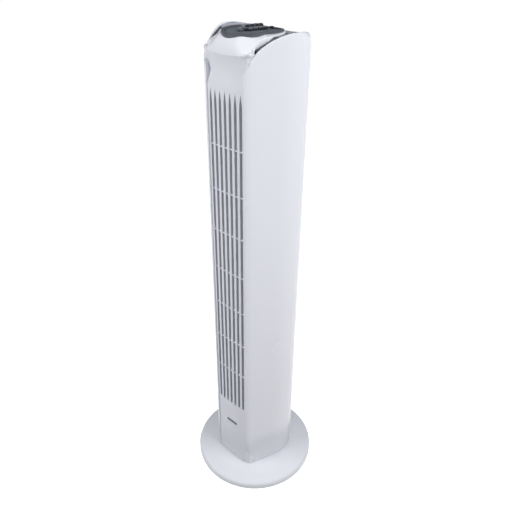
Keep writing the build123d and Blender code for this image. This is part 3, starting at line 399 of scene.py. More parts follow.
NODE_FINISHES = {
    grey_lacquer: ("control_plate",),
    matt_black: (
        "base_floor",
        "scroll_wall",
        "duct_tongue",
        "duct_floor",
        "duct_ceiling",
        "cord_inlet",
        "swing_motor",
        "motor_capacitor",
        "timer_unit",
        "key_switch_block",
        "swing_switch",
    ),
    inner_white: ("foot_plate", "swivel_hub", "motor_shelf", "terminal_block"),
    acetal: ("slide_ring", "swing_track", "swing_crank"),
    rubber: ("rubber_feet", "bearing_cushion", "impeller_bush"),
    zinc_steel: (
        "base_screws",
        "ballast_plate",
        "pivot_post",
        "post_clip",
        "casing_screws",
        "top_axle",
        "motor_shaft",
        "stator_core",
        "rotor",
        "motor_bell_lower",
        "motor_bell_upper",
    ),
    bronze: ("motor_bearing_lower", "motor_bearing_upper", "top_bearing"),
    copper: ("stator_windings",),
    black_trim_and_key_shade: ("blank_badge",),
}
for surface, names in NODE_FINISHES.items():
    for name in names:
        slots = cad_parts[name].material_slots
        for slot in slots:
            slot.link = "OBJECT"
            slot.material = surface


# ---- the column's outline ------------------------------------------------------------------------
def plan_walk(inset=0.0, fine=1.3):
    """The right half of the column's plan, moved inwards: (x, y, outward x, outward y) at each step."""
    x, y, heading = 0.0, -COLUMN_FRONT + inset, 0.0
    walked = [(x, y, 0.0, -1.0)]

    def bend(radius, turn):
        nonlocal x, y, heading
        steps = max(2, round(max(radius * radians(turn) / fine, turn / 5)))
        for _ in range(steps):
            new = heading + radians(turn) / steps
            x += (radius - inset) * (sin(new) - sin(heading))
            y += (radius - inset) * (cos(heading) - cos(new))
            heading = new
            walked.append((x, y, sin(heading), -cos(heading)))

    bend(FRONT_RADIUS, FRONT_TURN)
    bend(CORNER_RADIUS, CORNER_TURN)
    steps = round(FLANK_LENGTH / fine)
    for _ in range(steps):
        x += cos(heading) * FLANK_LENGTH / steps
        y += sin(heading) * FLANK_LENGTH / steps
        walked.append((x, y, sin(heading), -cos(heading)))
    bend(SIDE_RADIUS, SIDE_TURN)
    bend(SHOULDER_RADIUS, SHOULDER_TURN)
    bend((x + inset * sin(heading)) / sin(radians(BACK_TURN)), BACK_TURN)
    return walked


PLAN = plan_walk()


def plan_at(across, rear):
    """The point of the outline at a distance from the middle, on the front or on the back."""
    half = [spot for spot in PLAN if (spot[1] > 0) == rear]
    for one, two in zip(half, half[1:]):
        if min(one[0], two[0]) <= abs(across) <= max(one[0], two[0]) and one[0] != two[0]:
            share = (abs(across) - one[0]) / (two[0] - one[0])
            x, y, out_x, out_y = (a + (b - a) * share for a, b in zip(one, two))
            length = hypot(out_x, out_y)
            side = -1 if across < 0 else 1
            return (side * x, y, side * out_x / length, out_y / length)
    raise ValueError("no such place on the outline")


def plan_side(y, inset):
    """The point of the column's right side at depth y, moved inwards by inset."""
    for one, two in zip(PLAN, PLAN[1:]):
        if one[1] <= y <= two[1]:
            share = (y - one[1]) / (two[1] - one[1])
            x, y, out_x, out_y = (a + (b - a) * share for a, b in zip(one, two))
            return (x - out_x * inset, y - out_y * inset)
    raise ValueError("no such depth on the outline")


def casing_outline():
    """Arcs of the casing's side view, front to back: where each ends, and its centre and radius."""
    depth, height, lean = -CASING_FRONT, CASING_SHOULDER, radians(90)
    outline = []
    for radius, turn in CASING_ARCS:
        middle, level = depth + radius * sin(lean), height - radius * cos(lean)
        lean -= radians(turn)
        depth, height = middle - radius * sin(lean), level + radius * cos(lean)
        outline.append((depth, middle, level, radius))
    return outline


CASING_OUTLINE = casing_outline()


def casing_top(y):
    """Height of the casing walls' edge at depth y."""
    for end, middle, level, radius in CASING_OUTLINE:
        if y <= end:
            break
    return level + sqrt(max(0.0, radius**2 - (y - middle) ** 2))


def crown(y, top):
    """Height at depth y of the crown whose crest is at top."""
    return top - CROWN_RADIUS + sqrt(CROWN_RADIUS**2 - (y - CREST) ** 2)


def bow(x):
    """How far the front arc has fallen back at a distance from the middle."""
    return FRONT_RADIUS - sqrt(FRONT_RADIUS**2 - x * x)


BROW_RISE = 3.5
BROW_HALF_WIDTH = 36.0
CROWN_HALF_WIDTH = 33.0
SIDE_STEP = 3.5
SIDE_STEP_LOSS = 1.5
SIDE_STEP_FROM = -45.0
SIDE_STEP_LENGTH = 20.0
SIDE_BLEND_FROM = 14.0
SIDE_BLEND_WIDTH = 26.0


def brow_line(x):
    """Height of the brow, which rises towards the sides."""
    return BROW_HEIGHT + BROW_RISE * (x / BROW_HALF_WIDTH) ** 2


def head_height(x, y):
    """Height of the head cover over a point of the plan: a crown that bends down beside the walls."""
    depth = y - bow(min(abs(x), FRONT_SEAM))
    if depth >= HEAD_CORNER:
        middle = crown(depth, HEAD_TOP)
    else:
        share = (HEAD_CORNER - depth) / (HEAD_CORNER - BROW_FRONT)
        corner = crown(HEAD_CORNER, HEAD_TOP) - BROW_HEIGHT
        middle = BROW_HEIGHT + corner * sqrt(max(0.0, 1 - share * share))
    step = SIDE_STEP - SIDE_STEP_LOSS * ease((y - SIDE_STEP_FROM) / SIDE_STEP_LENGTH)
    side = max(casing_top(y) + step, brow_line(x))
    middle = max(middle - CROWN_FALL * (x / CROWN_HALF_WIDTH) ** 2, brow_line(x))
    return middle + (min(middle, side) - middle) * ease((abs(x) - SIDE_BLEND_FROM) / SIDE_BLEND_WIDTH)


# ---- casing walls --------------------------------------------------------------------------------
WALL_FOOT = 21.0
LIP_STEPS = 8
WALL_LEVELS = (0.0, 0.001, 0.1, 0.3, 0.5, 0.7, 0.85, 0.93, 0.97, 0.99)


def wall_point(spot, row, inner, recess=0.0):
    """A point of the casing wall: rows climb the wall, then round its upper lip."""
    x, y, out_x, out_y = spot
    top = casing_top(y)
    curl = ease((y + 4) / 34)
    lip_across = WALL / 2 + 4.4 * curl
    lip_down = WALL / 2 + 7.7 * curl
    if row < len(WALL_LEVELS):
        share = WALL_LEVELS[row]
        inset = 0.5 if row == 0 and not inner else 0.0
        height = WALL_FOOT + (top - lip_down - WALL_FOOT) * share + (0.5 if 0 < row < 2 and not inner else 0)
        inset = WALL if inner else inset
    else:
        angle = radians(90 * (row - len(WALL_LEVELS) + 1) / LIP_STEPS)
        inset = lip_across * (1 - cos(angle))
        height = top - lip_down * (1 - sin(angle))
        if inner:
            inset = WALL + (lip_across - WALL) * (1 - cos(angle))
            height -= 1.5 * curl
    inset += recess
    return (x - out_x * inset, y - out_y * inset, height)


WALL_ROWS = len(WALL_LEVELS) + LIP_STEPS


def side_shell(name, side):
    """One casing half: from the grille round the flank to the rear housing."""
    spots = [plan_at(FRONT_SEAM, False)]
    spots += [spot for spot in PLAN if spot[0] > (FRONT_SEAM if spot[1] < 0 else REAR_SEAM) + 0.1]
    spots.append(plan_at(REAR_SEAM, True))
    points = []
    for spot in spots:
        points += [wall_point(spot, row, False) for row in range(WALL_ROWS)]
        points += [wall_point(spot, row, True) for row in reversed(range(WALL_ROWS))]
    loop = 2 * WALL_ROWS
    faces = grid_faces(len(spots), loop, True)
    for first in (0, (len(spots) - 1) * loop):
        for row in range(WALL_ROWS - 1):
            faces.append((first + row, first + row + 1, first + loop - row - 2, first + loop - row - 1))
    shell = piece(name, [(side * x, y, z) for x, y, z in points], faces, white_abs)
    bevel(shell, 0.35)
    return shell


right_shell = side_shell("right_side_shell_skin", 1)
left_shell = side_shell("left_side_shell_skin", -1)
for shell, cad_node in ((right_shell, "right_side_shell"), (left_shell, "left_side_shell")):
    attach(shell, "column")
    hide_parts(cad_node)


def slotted(name, columns, rows, place, is_open, surface):
    """A thick panel on a grid, with cells left open; place gives a point of its outer or inner face."""
    width = len(columns)
    height = len(rows)
    layer = width * height
    points = [place(column, row, inner) for inner in (False, True) for row in rows for column in columns]
    solid = {
        (column, row)
        for row in range(height - 1)
        for column in range(width - 1)
        if not is_open(column, row)
    }
    faces = []
    for column, row in solid:
        corner = row * width + column
        ring = (corner, corner + 1, corner + width + 1, corner + width)
        faces.append(ring)
        faces.append(tuple(spot + layer for spot in reversed(ring)))
        for step, one, two in (
            ((0, -1), ring[0], ring[1]),
            ((1, 0), ring[1], ring[2]),
            ((0, 1), ring[2], ring[3]),
            ((-1, 0), ring[3], ring[0]),
        ):
            if (column + step[0], row + step[1]) not in solid:
                faces.append((two, one, one + layer, two + layer))
    used = sorted({spot for ring in faces for spot in ring})
    renumber = {old: new for new, old in enumerate(used)}
    rings = [[renumber[spot] for spot in ring] for ring in faces]
    return piece(name, [points[old] for old in used], rings, surface)


# ---- front grille --------------------------------------------------------------------------------
GRILLE_HALF = FRONT_SEAM - 0.25
SLOT_PLACES = [(slot - (SLOT_COUNT - 1) / 2) * SLOT_PITCH for slot in range(SLOT_COUNT)]
GRILLE_COLUMNS = [("edge", -1), ("rim", -1)]
for slot in range(SLOT_COUNT):
    GRILLE_COLUMNS += [(slot, -1), (slot, 1)]
    if slot < SLOT_COUNT - 1:
        GRILLE_COLUMNS.append((slot + 0.5, 0))
GRILLE_COLUMNS += [("rim", 1), ("edge", 1)]
SLOT_FOOT_ROWS = [SLOT_BOTTOM + rise for rise in (0.0, 0.25, 0.8, 1.5, 2.2)]
SLOT_POINT_ROWS = [SLOT_TOP - SLOT_POINT + SLOT_POINT * step / 8 for step in range(9)]
SCOOP_ROWS = [SCOOP_START + (BROW_HEIGHT - 0.4 - SCOOP_START) * step / 16 for step in range(17)]
GRILLE_ROWS = [WALL_FOOT + 0.6, 60, 110, 135, SLOT_BOTTOM - 4]
GRILLE_ROWS += SLOT_FOOT_ROWS + [300, 450, 600] + SLOT_POINT_ROWS + SCOOP_ROWS


def slot_half(z):
    """Half the width of a slot at a height, with the corners of its foot and its tapered point."""
    if z < SLOT_FOOT_ROWS[0] or z > SLOT_TOP:
        return 0.12
    if z < SLOT_FOOT_ROWS[-1]:
        share = (SLOT_FOOT_ROWS[-1] - z) / (SLOT_FOOT_ROWS[-1] - SLOT_FOOT_ROWS[0])
        return SLOT_HALF * (0.45 + 0.55 * sqrt(1 - share * share))
    if z > SLOT_POINT_ROWS[0]:
        share = (z - SLOT_POINT_ROWS[0]) / SLOT_POINT
        return max(0.12, SLOT_HALF * (1 - share**1.5))
    return SLOT_HALF


def scoop(z):
    """How far the panel is hollowed at a height above the slots; negative where it comes out to the brow."""
    if z < SCOOP_START:
        return 0.0
    if z < SCOOP_DEEPEST:
        return SCOOP_DEPTH * ease((z - SCOOP_START) / (SCOOP_DEEPEST - SCOOP_START))
    share = (z - SCOOP_DEEPEST) / (BROW_HEIGHT - SCOOP_DEEPEST)
    return SCOOP_DEPTH - (SCOOP_DEPTH + COLUMN_FRONT - GRILLE_RECESS + BROW_FRONT + SCOOP_LIP) * share**2.2


def grille_point(column, row, inner):
    """A point of the grille panel."""
    slot, side = column
    if slot == "edge":
        x = side * GRILLE_HALF
    elif slot == "rim":
        x = side * (SLOT_PLACES[-1] + SLOT_HALF + 1.6)
    elif side:
        x = SLOT_PLACES[slot] + side * slot_half(row)
    else:
        x = (SLOT_PLACES[int(slot)] + SLOT_PLACES[int(slot) + 1]) / 2
    depth = 0.0
    if inner:
        slatted = SLOT_BOTTOM - 4 < row < SCOOP_START and slot != "edge"
        depth = SLAT_DEPTH if slatted else PANEL_WALL
    y = -COLUMN_FRONT + GRILLE_RECESS + bow(x) + scoop(row) + depth
    lift = max(0.0, (row - SCOOP_DEEPEST) / (BROW_HEIGHT - SCOOP_DEEPEST))
    return (x, y, row + (brow_line(x) + 0.5 - BROW_HEIGHT) * lift**2)


def grille_open(column, row):
    """Whether a cell of the grille panel is in a slot."""
    slot, side = GRILLE_COLUMNS[column]
    in_slot = isinstance(slot, int) and side == -1
    return in_slot and SLOT_BOTTOM <= GRILLE_ROWS[row] and GRILLE_ROWS[row + 1] <= SLOT_TOP


grille = slotted("front_grille_skin", GRILLE_COLUMNS, GRILLE_ROWS, grille_point, grille_open, grille_abs)
bevel(grille, 0.45, 2, 50)
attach(grille, "column")
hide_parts("front_grille")


def bar(half_width, front_inset, back_inset, height, surface, name, rear=False):
    """A curved cross bar that follows the panel, one section for each step across."""
    steps = 16
    points = []
    for step in range(steps + 1):
        x, y, out_x, out_y = plan_at(half_width * (2 * step / steps - 1), rear)
        for inset, z in (
            (front_inset, 0.3),
            (front_inset, height - 0.3),
            (front_inset + 0.4, height),
            (back_inset, height),
            (back_inset, 0),
            (front_inset + 0.4, 0),
        ):
            points.append((x - out_x * inset, y - out_y * inset, z))
    faces = grid_faces(steps + 1, 6, True)
    faces.append(tuple(range(6)))
    faces.append(tuple(range(steps * 6, steps * 6 + 6)))
    return piece(name, points, faces, surface)


grille_bar = bar(
    SLOT_COUNT * SLOT_PITCH / 2 - 1, GRILLE_RECESS + 0.6, GRILLE_RECESS + 4.5, RIB_HEIGHT, grille_abs, "bar"
)
grille_ribs = repeated("grille_ribs", grille_bar, RIB_COUNT, grille_abs, (0, 0, RIB_FIRST), (0, 0, RIB_PITCH))
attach(grille_ribs, "column")

# ---- rear housing --------------------------------------------------------------------------------
REAR_HALF = REAR_SEAM - 0.25
RIB_HEIGHTS = [RIB_FIRST + RIB_PITCH * rib for rib in range(RIB_COUNT)]
BAY_FEET = [SLOT_BOTTOM] + [height + RIB_HEIGHT + 3 for height in RIB_HEIGHTS]
BAY_TOPS = RIB_HEIGHTS + [SLOT_TOP]
REAR_PLACES = [(slot - (REAR_SLOT_COUNT - 1) / 2) * REAR_SLOT_PITCH for slot in range(REAR_SLOT_COUNT)]
ROUNDING = [(0.0, 0.5), (0.3, 0.76), (0.9, 0.93), (2.0, 1.0)]
REAR_COLUMNS = [("edge", -1)]
for slot in range(REAR_SLOT_COUNT):
    REAR_COLUMNS += [(slot, -1), (slot, 1)]
REAR_COLUMNS.append(("edge", 1))
REAR_ROWS = [("level", WALL_FOOT + 0.4), ("level", 60), ("level", 110)]
for foot, head in zip(BAY_FEET, BAY_TOPS):
    REAR_ROWS += [("bay", foot + rise, share) for rise, share in ROUNDING]
    REAR_ROWS += [("bay", head - rise, share) for rise, share in reversed(ROUNDING)]
REAR_ROWS += [("level", 690.0)] + [("lip", step) for step in range(LIP_STEPS + 1)]


def rear_point(column, row, inner):
    """A point of the rear housing."""
    slot, side = column
    share = row[2] if row[0] == "bay" else 0.5
    x = side * REAR_HALF if slot == "edge" else REAR_PLACES[slot] + side * REAR_SLOT_HALF * share
    spot = plan_at(x, True)
    if row[0] == "lip":
        return wall_point(spot, len(WALL_LEVELS) - 1 + row[1], inner, 0.2)
    inset = 0.2 + (WALL if inner else 0.0)
    return (spot[0] - spot[2] * inset, spot[1] - spot[3] * inset, row[1])


def rear_open(column, row):
    """Whether a cell of the rear housing is in a slot."""
    slot, side = REAR_COLUMNS[column]
    both = REAR_ROWS[row][0] == "bay" and REAR_ROWS[row + 1][0] == "bay"
    in_bay = both and any(
        foot <= REAR_ROWS[row][1] and REAR_ROWS[row + 1][1] <= head
        for foot, head in zip(BAY_FEET, BAY_TOPS)
    )
    return isinstance(slot, int) and side == -1 and in_bay


rear = slotted("rear_housing_skin", REAR_COLUMNS, REAR_ROWS, rear_point, rear_open, white_abs)
bevel(rear, 0.3, 2, 50)
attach(rear, "column")
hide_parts("rear_housing")

# ---- head: wings, cap, collar, bezel ring --------------------------------------------------------
WING_FOOT = SCOOP_START
WING_TOP = 715.0


def grille_wing(side):
    """Fill beside the hollowed panel, out to the side wall's edge where that falls back to the brow."""
    rows, columns = 44, 8
    _, middle, level, radius = CASING_OUTLINE[0]
    seam = plan_at(FRONT_SEAM, False)[1]
    points = []
    for row in range(rows + 1):
        climb = row / rows
        near = grille_point(("edge", 1), WING_FOOT + (BROW_HEIGHT - 0.4 - WING_FOOT) * climb, False)
        z = WING_FOOT + (WING_TOP - WING_FOOT) * climb
        edge = middle - sqrt(radius**2 - max(0.0, z - level) ** 2)
        far = (*plan_side(max(edge, seam), 2.0), z)
        far = (max(far[0], near[0]), far[1], far[2])
        for column in range(columns + 1):
            share = column / columns
            x, y, z = (a + (b - a) * share for a, b in zip(near, far))
            points.append((side * x, y + 0.4 * (1 - share), z))
    wing = piece("wing", points, grid_faces(rows + 1, columns + 1), grille_abs)
    thicken(wing, 1.2, 0)
    return settle(wing)


wings = join("grille_wings", grille_wing(-1), grille_wing(1))
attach(wings, "column")

CAP_EDGE_INSET = 0.5
CAP_WRAP = -53.0
CAP_WRAP_LENGTH = 14.0


def cap_outline():
    """Right half of the cap's edge, as (x, y, inward x, inward y, share of brow).

    It follows the column round its front corner, draws in beside the wall, then closes in an oval.
    """
    edge = []
    for x, y, out_x, out_y in PLAN:
        turned = ease((y - CAP_WRAP) / CAP_WRAP_LENGTH)
        inset = CAP_EDGE_INSET + (CAP_INSET - CAP_EDGE_INSET) * turned
        at_x, at_y = x - out_x * inset, y - out_y * inset
        oval = CAP_HALF_WIDTH * sqrt(max(0.0, 1 - ((at_y - CAP_CENTRE) / CAP_HALF_LENGTH) ** 2))
        if at_y > CAP_CENTRE - 6 and at_x > oval:
            break
        edge.append((at_x, at_y, -out_x, -out_y, 1 - turned))
    start = asin((edge[-1][1] - CAP_CENTRE) / CAP_HALF_LENGTH)
    steps = 40
    for step in range(1, steps + 1):
        angle = start + (pi / 2 - start) * step / steps
        inward = Vector((-cos(angle) / CAP_HALF_WIDTH, -sin(angle) / CAP_HALF_LENGTH)).normalized()
        at_x = CAP_HALF_WIDTH * cos(angle) if step < steps else 0.0
        edge.append((at_x, CAP_CENTRE + CAP_HALF_LENGTH * sin(angle), inward.x, inward.y, 0.0))
    return edge


def head_cap():
    """The head cover: from the bezel ring out to its edge, turned down all round."""
    half = cap_outline()
    edge = half + [(-x, y, -in_x, in_y, brow) for x, y, in_x, in_y, brow in reversed(half[1:-1])]
    rows = 26
    round_over = 1.6
    points = []
    for row in range(rows + 1):
        share = 1 - (1 - row / rows) ** 1.8
        for x, y, _, _, brow in edge:
            angle = atan2((y - PANEL_CENTRE) / PANEL_HALF_LENGTH, x / PANEL_HALF_WIDTH)
            start_x = (PANEL_HALF_WIDTH + BEZEL_WIDTH - 1.5) * cos(angle)
            start_y = PANEL_CENTRE + (PANEL_HALF_LENGTH + BEZEL_WIDTH - 1.5) * sin(angle)
            length = hypot(x - start_x, y - start_y)
            at_x = start_x + (x - start_x) * share
            at_y = start_y + (y - start_y) * share
            near = max(0.0, 1 - length * (1 - share) / round_over)
            drop = (1 - brow) * round_over * (1 - sqrt(1 - near * near)) * 0.8
            points.append((at_x, at_y, head_height(at_x, at_y) - drop))
    last = points[-len(edge) :]
    for depth in (1, 3, 8):
        for (x, y, z), (_, _, in_x, in_y, brow) in zip(last, edge):
            inward = 0.5 * depth * brow
            points.append((x + in_x * inward, y + in_y * inward, z - depth * (1 - 0.94 * brow)))
    cap = piece("head_cover_skin", points, grid_faces(rows + 4, len(edge), True), white_abs)
    thicken(cap, 1.8)
    return cap


cap = head_cap()
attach(cap, "column")
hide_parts("head_cover")

COLLAR_FRONT = -50.5
COLLAR_SHADE_EDGE = -10.0  # in front of this the collar is painted darker as shade in its groove, behind it the deck is painted a lighter grey shade


def head_collar():
    """The sunken deck between the casing walls and the cap: a groove in front, wide at the back."""
    outer = [spot for spot in PLAN if spot[1] > COLLAR_FRONT]
    steps = 8
    points = []
    for x, y, out_x, out_y in outer:
        start = WALL / 2 + 4.4 * ease((y + 4) / 34)
        edge_x, edge_y = x - out_x * start, y - out_y * start
        depth = 1.0 + 2.0 * (1 - ease((y + 45) / 35))
        for step in range(steps + 1):
            share = step / steps
            at_x = edge_x * (1 - 0.38 * share)
            at_y = edge_y + (PANEL_CENTRE - edge_y) * 0.38 * share
            height = casing_top(at_y) - 1.3 - depth * min(1.0, 6 * share)
            if step > 1:
                height = min(height, head_height(at_x, at_y) - 1.2)
            points.append((at_x, at_y, height))
    mirrored = [
        (-points[row * (steps + 1) + step][0], *points[row * (steps + 1) + step][1:])
        for row in reversed(range(len(outer) - 1))
        for step in range(steps + 1)
    ]
    rows = 2 * len(outer) - 1
    collar = piece("head_collar_skin", points + mirrored, grid_faces(rows, steps + 1), painted_shade_deck_grey)
    # The faces in front of the shade edge take the darker grey: painted shade in the groove.
    collar.data.materials.append(grey_trim_and_groove_shade)
    for face in collar.data.polygons:
        face.material_index = int(face.center.y < COLLAR_SHADE_EDGE * MM)
    thicken(collar, 1.5)
    return collar


collar = head_collar()
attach(collar, "column")
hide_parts("head_collar")


def bezel_ring():
    """The oval ring round the control plate: a sloping outer wall, a rounded top and a dark inner step."""
    count = 120
    top = HEAD_TOP + RING_RISE
    profile = [(BEZEL_WIDTH - 0.1, "head", -0.8), (BEZEL_WIDTH - 0.1, "head", 0.1)]
    profile += [
        (BEZEL_WIDTH - 0.5 - 0.7 * share, "crown", -1.5 * (1 - share) ** 2)
        for share in (0.0, 0.3, 0.65, 1.0)
    ]
    profile += [(3.4, "crown", 0.0), (1.6, "crown", -0.15), (1.0, "crown", -0.4), (0.75, "crown", -0.9)]
    profile += [(0.7, "crown", -3.5), (BEZEL_WIDTH - 2, "crown", -4.2)]
    points = []
    for grow, base, rise in profile:
        for turn in range(count):
            angle = 2 * pi * turn / count
            x = (PANEL_HALF_WIDTH + grow) * cos(angle)
            y = PANEL_CENTRE + (PANEL_HALF_LENGTH + grow) * sin(angle)
            foot = head_height(x, y)
            points.append((x, y, foot + rise if base == "head" else max(crown(y, top) + rise, foot - 1.2)))
    return piece("bezel_ring_skin", points, grid_faces(len(profile), count, True, True), grey_trim_and_groove_shade, 50)


ring = bezel_ring()
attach(ring, "column")
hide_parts("bezel_ring")

# ---- keys, knob, button --------------------------------------------------------------------------
KEY_LENGTH = 13.0
KEY_PITCH = 8.5
KEY_GAP = 0.5
KEY_TOP = 738.8  # of the raised half, at the crown's crest
KEY_STEP_TOP = 736.4
KEY_BOTTOM = 731.0
KEY_RISER = 0.8
KEY_BANK_CENTRE = -5.5
KEY_NAMES = ("key_off", "key_low", "key_medium", "key_high")
KEY_FRAME_TOP = 734.4
KEY_FRAME_BOTTOM = 727.0
KNOB_CENTRE = (0.0, -29.5)
KNOB_RADIUS = 4.2
KNOB_TOP = 737.8
TIMER_SHAFT_RADIUS = 2.0
KNOB_BOTTOM = 732.9
GRIP_COUNT = 30
BUTTON_CENTRE = (0.0, 26.0)
BUTTON_RADIUS = 2.8
BUTTON_HEIGHT = 5.2


def key_top(x, centre):
    """Height of a key's top: a low half to the right and a raised half to the left."""
    half = KEY_LENGTH / 2
    crest = crown(centre, KEY_TOP if x < 0 else KEY_STEP_TOP)
    return crest - 0.55 * ((abs(x) - half / 2) / (half / 2)) ** 2


def key(name, centre):
    """One sculpted key."""
    half = KEY_LENGTH / 2
    wide = (KEY_PITCH - 0.8) / 2 - KEY_GAP
    steps = 9
    low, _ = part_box(name)
    bottom = KEY_BOTTOM
    across = [-half + (half - KEY_RISER) * step / steps for step in range(steps + 1)]
    across += [-x for x in reversed(across)]
    points = []
    for y in (-wide, wide):
        points += [(x, centre + y, key_top(x, centre)) for x in across]
        points += [(half, centre + y, bottom), (-half, centre + y, bottom)]
    loop = len(across) + 2
    faces = grid_faces(2, loop, True)
    faces += [tuple(range(loop)), tuple(range(loop, 2 * loop))]
    cap = piece(name + "_cap", points, faces, satin_chrome, 25)
    # The near-black finish goes on each key's riser, the step between its raised and its low half: painted
    # shade and reflection.
    cap.data.materials.append(black_trim_and_key_shade)
    for face in cap.data.polygons:
        face.material_index = int(abs(face.center.x) < KEY_RISER * MM and face.normal.z > 0.1)
    bevel(cap, 0.5, 3, 25)
    stem_low = low.z / MM
    stem = [
        (x, centre + y, z)
        for z in (stem_low, bottom + 0.5)
        for x, y in ((-4, -1.5), (4, -1.5), (4, 1.5), (-4, 1.5))
    ]
    stem = piece("stem", stem, grid_faces(2, 4, True) + [(0, 1, 2, 3), (4, 5, 6, 7)], satin_chrome)
    settle(cap)
    return join(name + "_cap", cap, stem)


for place, name in enumerate(KEY_NAMES):
    cap_piece = key(name, KEY_BANK_CENTRE + (place - (len(KEY_NAMES) - 1) / 2) * KEY_PITCH)
    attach(cap_piece, name)
    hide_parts(name)


def rounded_box(half_x, half_y, radius, steps=6):
    """Corner points of a rounded rectangle, as (x, y)."""
    points = []
    for turn, (side_x, side_y) in enumerate(((1, 1), (-1, 1), (-1, -1), (1, -1))):
        centre = (side_x * (half_x - radius), side_y * (half_y - radius))
        points += arc(centre, radius, 90 * turn, 90 * turn + 90, steps)
    return points


def tower(name, outline, profile, centre, surface, smooth=38):
    """A capped solid on a plan outline: profile gives how far each level is drawn in, and its height."""
    count = len(outline)
    reach_x = max(x for x, _ in outline)
    reach_y = max(y for _, y in outline)
    points = []
    for draw_in, height in profile:
        for x, y in outline:
            points.append(
                (
                    centre[0] + x * (reach_x - draw_in) / reach_x,
                    centre[1] + y * (reach_y - draw_in) / reach_y,
                    height,
                )
            )
    faces = grid_faces(len(profile), count, True)
    faces += [tuple(range(count)), tuple(range((len(profile) - 1) * count, len(profile) * count))]
    return piece(name, points, faces, surface, smooth)


def key_surround():
    """The raised frame round the keys, open in one window for each key."""
    half_x = (KEY_LENGTH + 3) / 2
    half_y = (len(KEY_NAMES) * KEY_PITCH + 3) / 2
    bottom, top = KEY_FRAME_BOTTOM, KEY_FRAME_TOP
    profile = [(0, bottom), (0, top - 1.4), (0.15, top - 0.8), (0.55, top - 0.3), (1.2, top)]
    surround = tower(
        "key_frame_skin", rounded_box(half_x, half_y, 4), profile, (0, KEY_BANK_CENTRE), black_trim_and_key_shade
    )
    windows = []
    for place in range(len(KEY_NAMES)):
        centre = KEY_BANK_CENTRE + (place - (len(KEY_NAMES) - 1) / 2) * KEY_PITCH
        outline = rounded_box(KEY_LENGTH / 2 + KEY_GAP, (KEY_PITCH - 0.8) / 2, 0.8, 3)
        windows.append(tower("window", outline, [(0, bottom - 1), (0, top + 1)], (0, centre), black_trim_and_key_shade))
    cut(surround, *windows)
    return surround


surround = key_surround()
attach(surround, "column")
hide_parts("key_frame")


def timer_knob():
    """The round timer knob: a domed chrome cap with fine grip ridges and a sunk pointer."""
    radius, top, bottom = KNOB_RADIUS - 0.5, KNOB_TOP, KNOB_BOTTOM
    low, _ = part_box("timer_knob")
    foot, shaft = low.z / MM, TIMER_SHAFT_RADIUS
    profile = [(0.001, foot), (shaft, foot), (shaft, bottom), (radius - 0.4, bottom), (radius, bottom + 0.4)]
    profile += [(radius - 0.1, bottom + 2.4), (radius - 0.25, top - 2.2)]
    profile += arc((radius - 1.35, top - 1.1), 1.1, 10, 80, 6)
    profile += [(radius - 2.2, top - 0.12), (radius - 2.9, top - 0.35), (0.001, top - 0.45)]
    knob = lathe("timer_knob_skin", profile, satin_chrome, KNOB_CENTRE, 72, False, 32)
    groove_place = (0, KNOB_CENTRE[1] - 1.8)
    groove = tower(
        "groove", rounded_box(0.45, 1.2, 0.4), [(0, top - 0.9), (0, top + 1)], groove_place, black_trim_and_key_shade
    )
    cut(knob, groove)
    ridge_box = [(-0.28, -0.25), (0.28, -0.25), (0.16, 0.3), (-0.16, 0.3)]
    ridge = piece(
        "ridge",
        [(x, -radius - 0.02 - y, z) for z in (bottom + 0.6, top - 2.6) for x, y in ridge_box],
        grid_faces(2, 4, True) + [(0, 1, 2, 3), (4, 5, 6, 7)],
        satin_chrome,
    )
    place = (*KNOB_CENTRE, 0)
    grip = repeated("grip", ridge, GRIP_COUNT, satin_chrome, place, turn=360 / GRIP_COUNT)
    return join("timer_knob_skin", knob, grip)


knob = timer_knob()
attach(knob, "knob")
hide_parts("timer_knob")


def swing_button():
    """The small round swing button with a dished top."""
    low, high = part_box("swing_button")
    top = high.z / MM
    bottom = top - BUTTON_HEIGHT
    profile = [(0.001, low.z / MM), (2, low.z / MM), (2, bottom), (BUTTON_RADIUS, bottom)]
    profile += arc((BUTTON_RADIUS - 1, top - 1), 1, 0, 80, 6)
    profile += [(BUTTON_RADIUS - 1.8, top - 0.15), (0.001, top - 0.35)]
    return lathe("swing_button_skin", profile, black_trim_and_key_shade, BUTTON_CENTRE, 48, False, 32)


button = swing_button()
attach(button, "swing_button")
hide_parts("swing_button")

# ---- base ----------------------------------------------------------------------------------------
BASE_RADIUS = 102.8
BASE_TOP = 20.0
BASE_FLAT_RADIUS = 62.0
BASE_RIM_TOP = 12.5
BASE_WALL = 2.6
EDGE_RADIUS = 5.0
COVER_BOTTOM = 1.2
POST_HOLE = 8.5
CRANK_CENTRE = 30.0
CRANK_SLOT_HALF = (4.3, 19.3)


def base_cover():
    """The round base: rim, rounded edge and a slope that levels out under the column."""

    def skin(inset):
        edge = arc((BASE_RADIUS - EDGE_RADIUS, BASE_RIM_TOP - EDGE_RADIUS), EDGE_RADIUS - inset, 0, 75, 10)
        start = Vector(edge[-1])
        end = Vector((BASE_FLAT_RADIUS, BASE_TOP - inset))
        pull_start = Vector((-sin(radians(75)), cos(radians(75)))) * 14
        pull_end = Vector((16, 0))
        slope = []
        for step in range(1, 19):
            share = step / 18
            one, two, three = 1 - share, share, share
            spot = (
                start * one**3
                + (start + pull_start) * 3 * one**2 * two
                + (end + pull_end) * 3 * one * two**2
                + end * three**3
            )
            slope.append(tuple(spot))
        return [(BASE_RADIUS - inset, COVER_BOTTOM)] + edge + slope + [(0.001, BASE_TOP - inset)]

    profile = skin(0.0) + list(reversed(skin(BASE_WALL)))
    cover = lathe("base_cover_skin", profile, base_abs, (0, 0), 160, True, 30)
    post = tower("post", arc((0, 0), POST_HOLE, 0, 345, 23), [(0, 15), (0, 25)], (0, 0), base_abs)
    slot = rounded_box(*CRANK_SLOT_HALF, CRANK_SLOT_HALF[0] - 0.05)
    slot = tower("slot", slot, [(0, 15), (0, 25)], (0, CRANK_CENTRE), base_abs)
    cut(cover, post, slot)
    return cover


cover = base_cover()
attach(cover, "base")
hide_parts("base_cover")


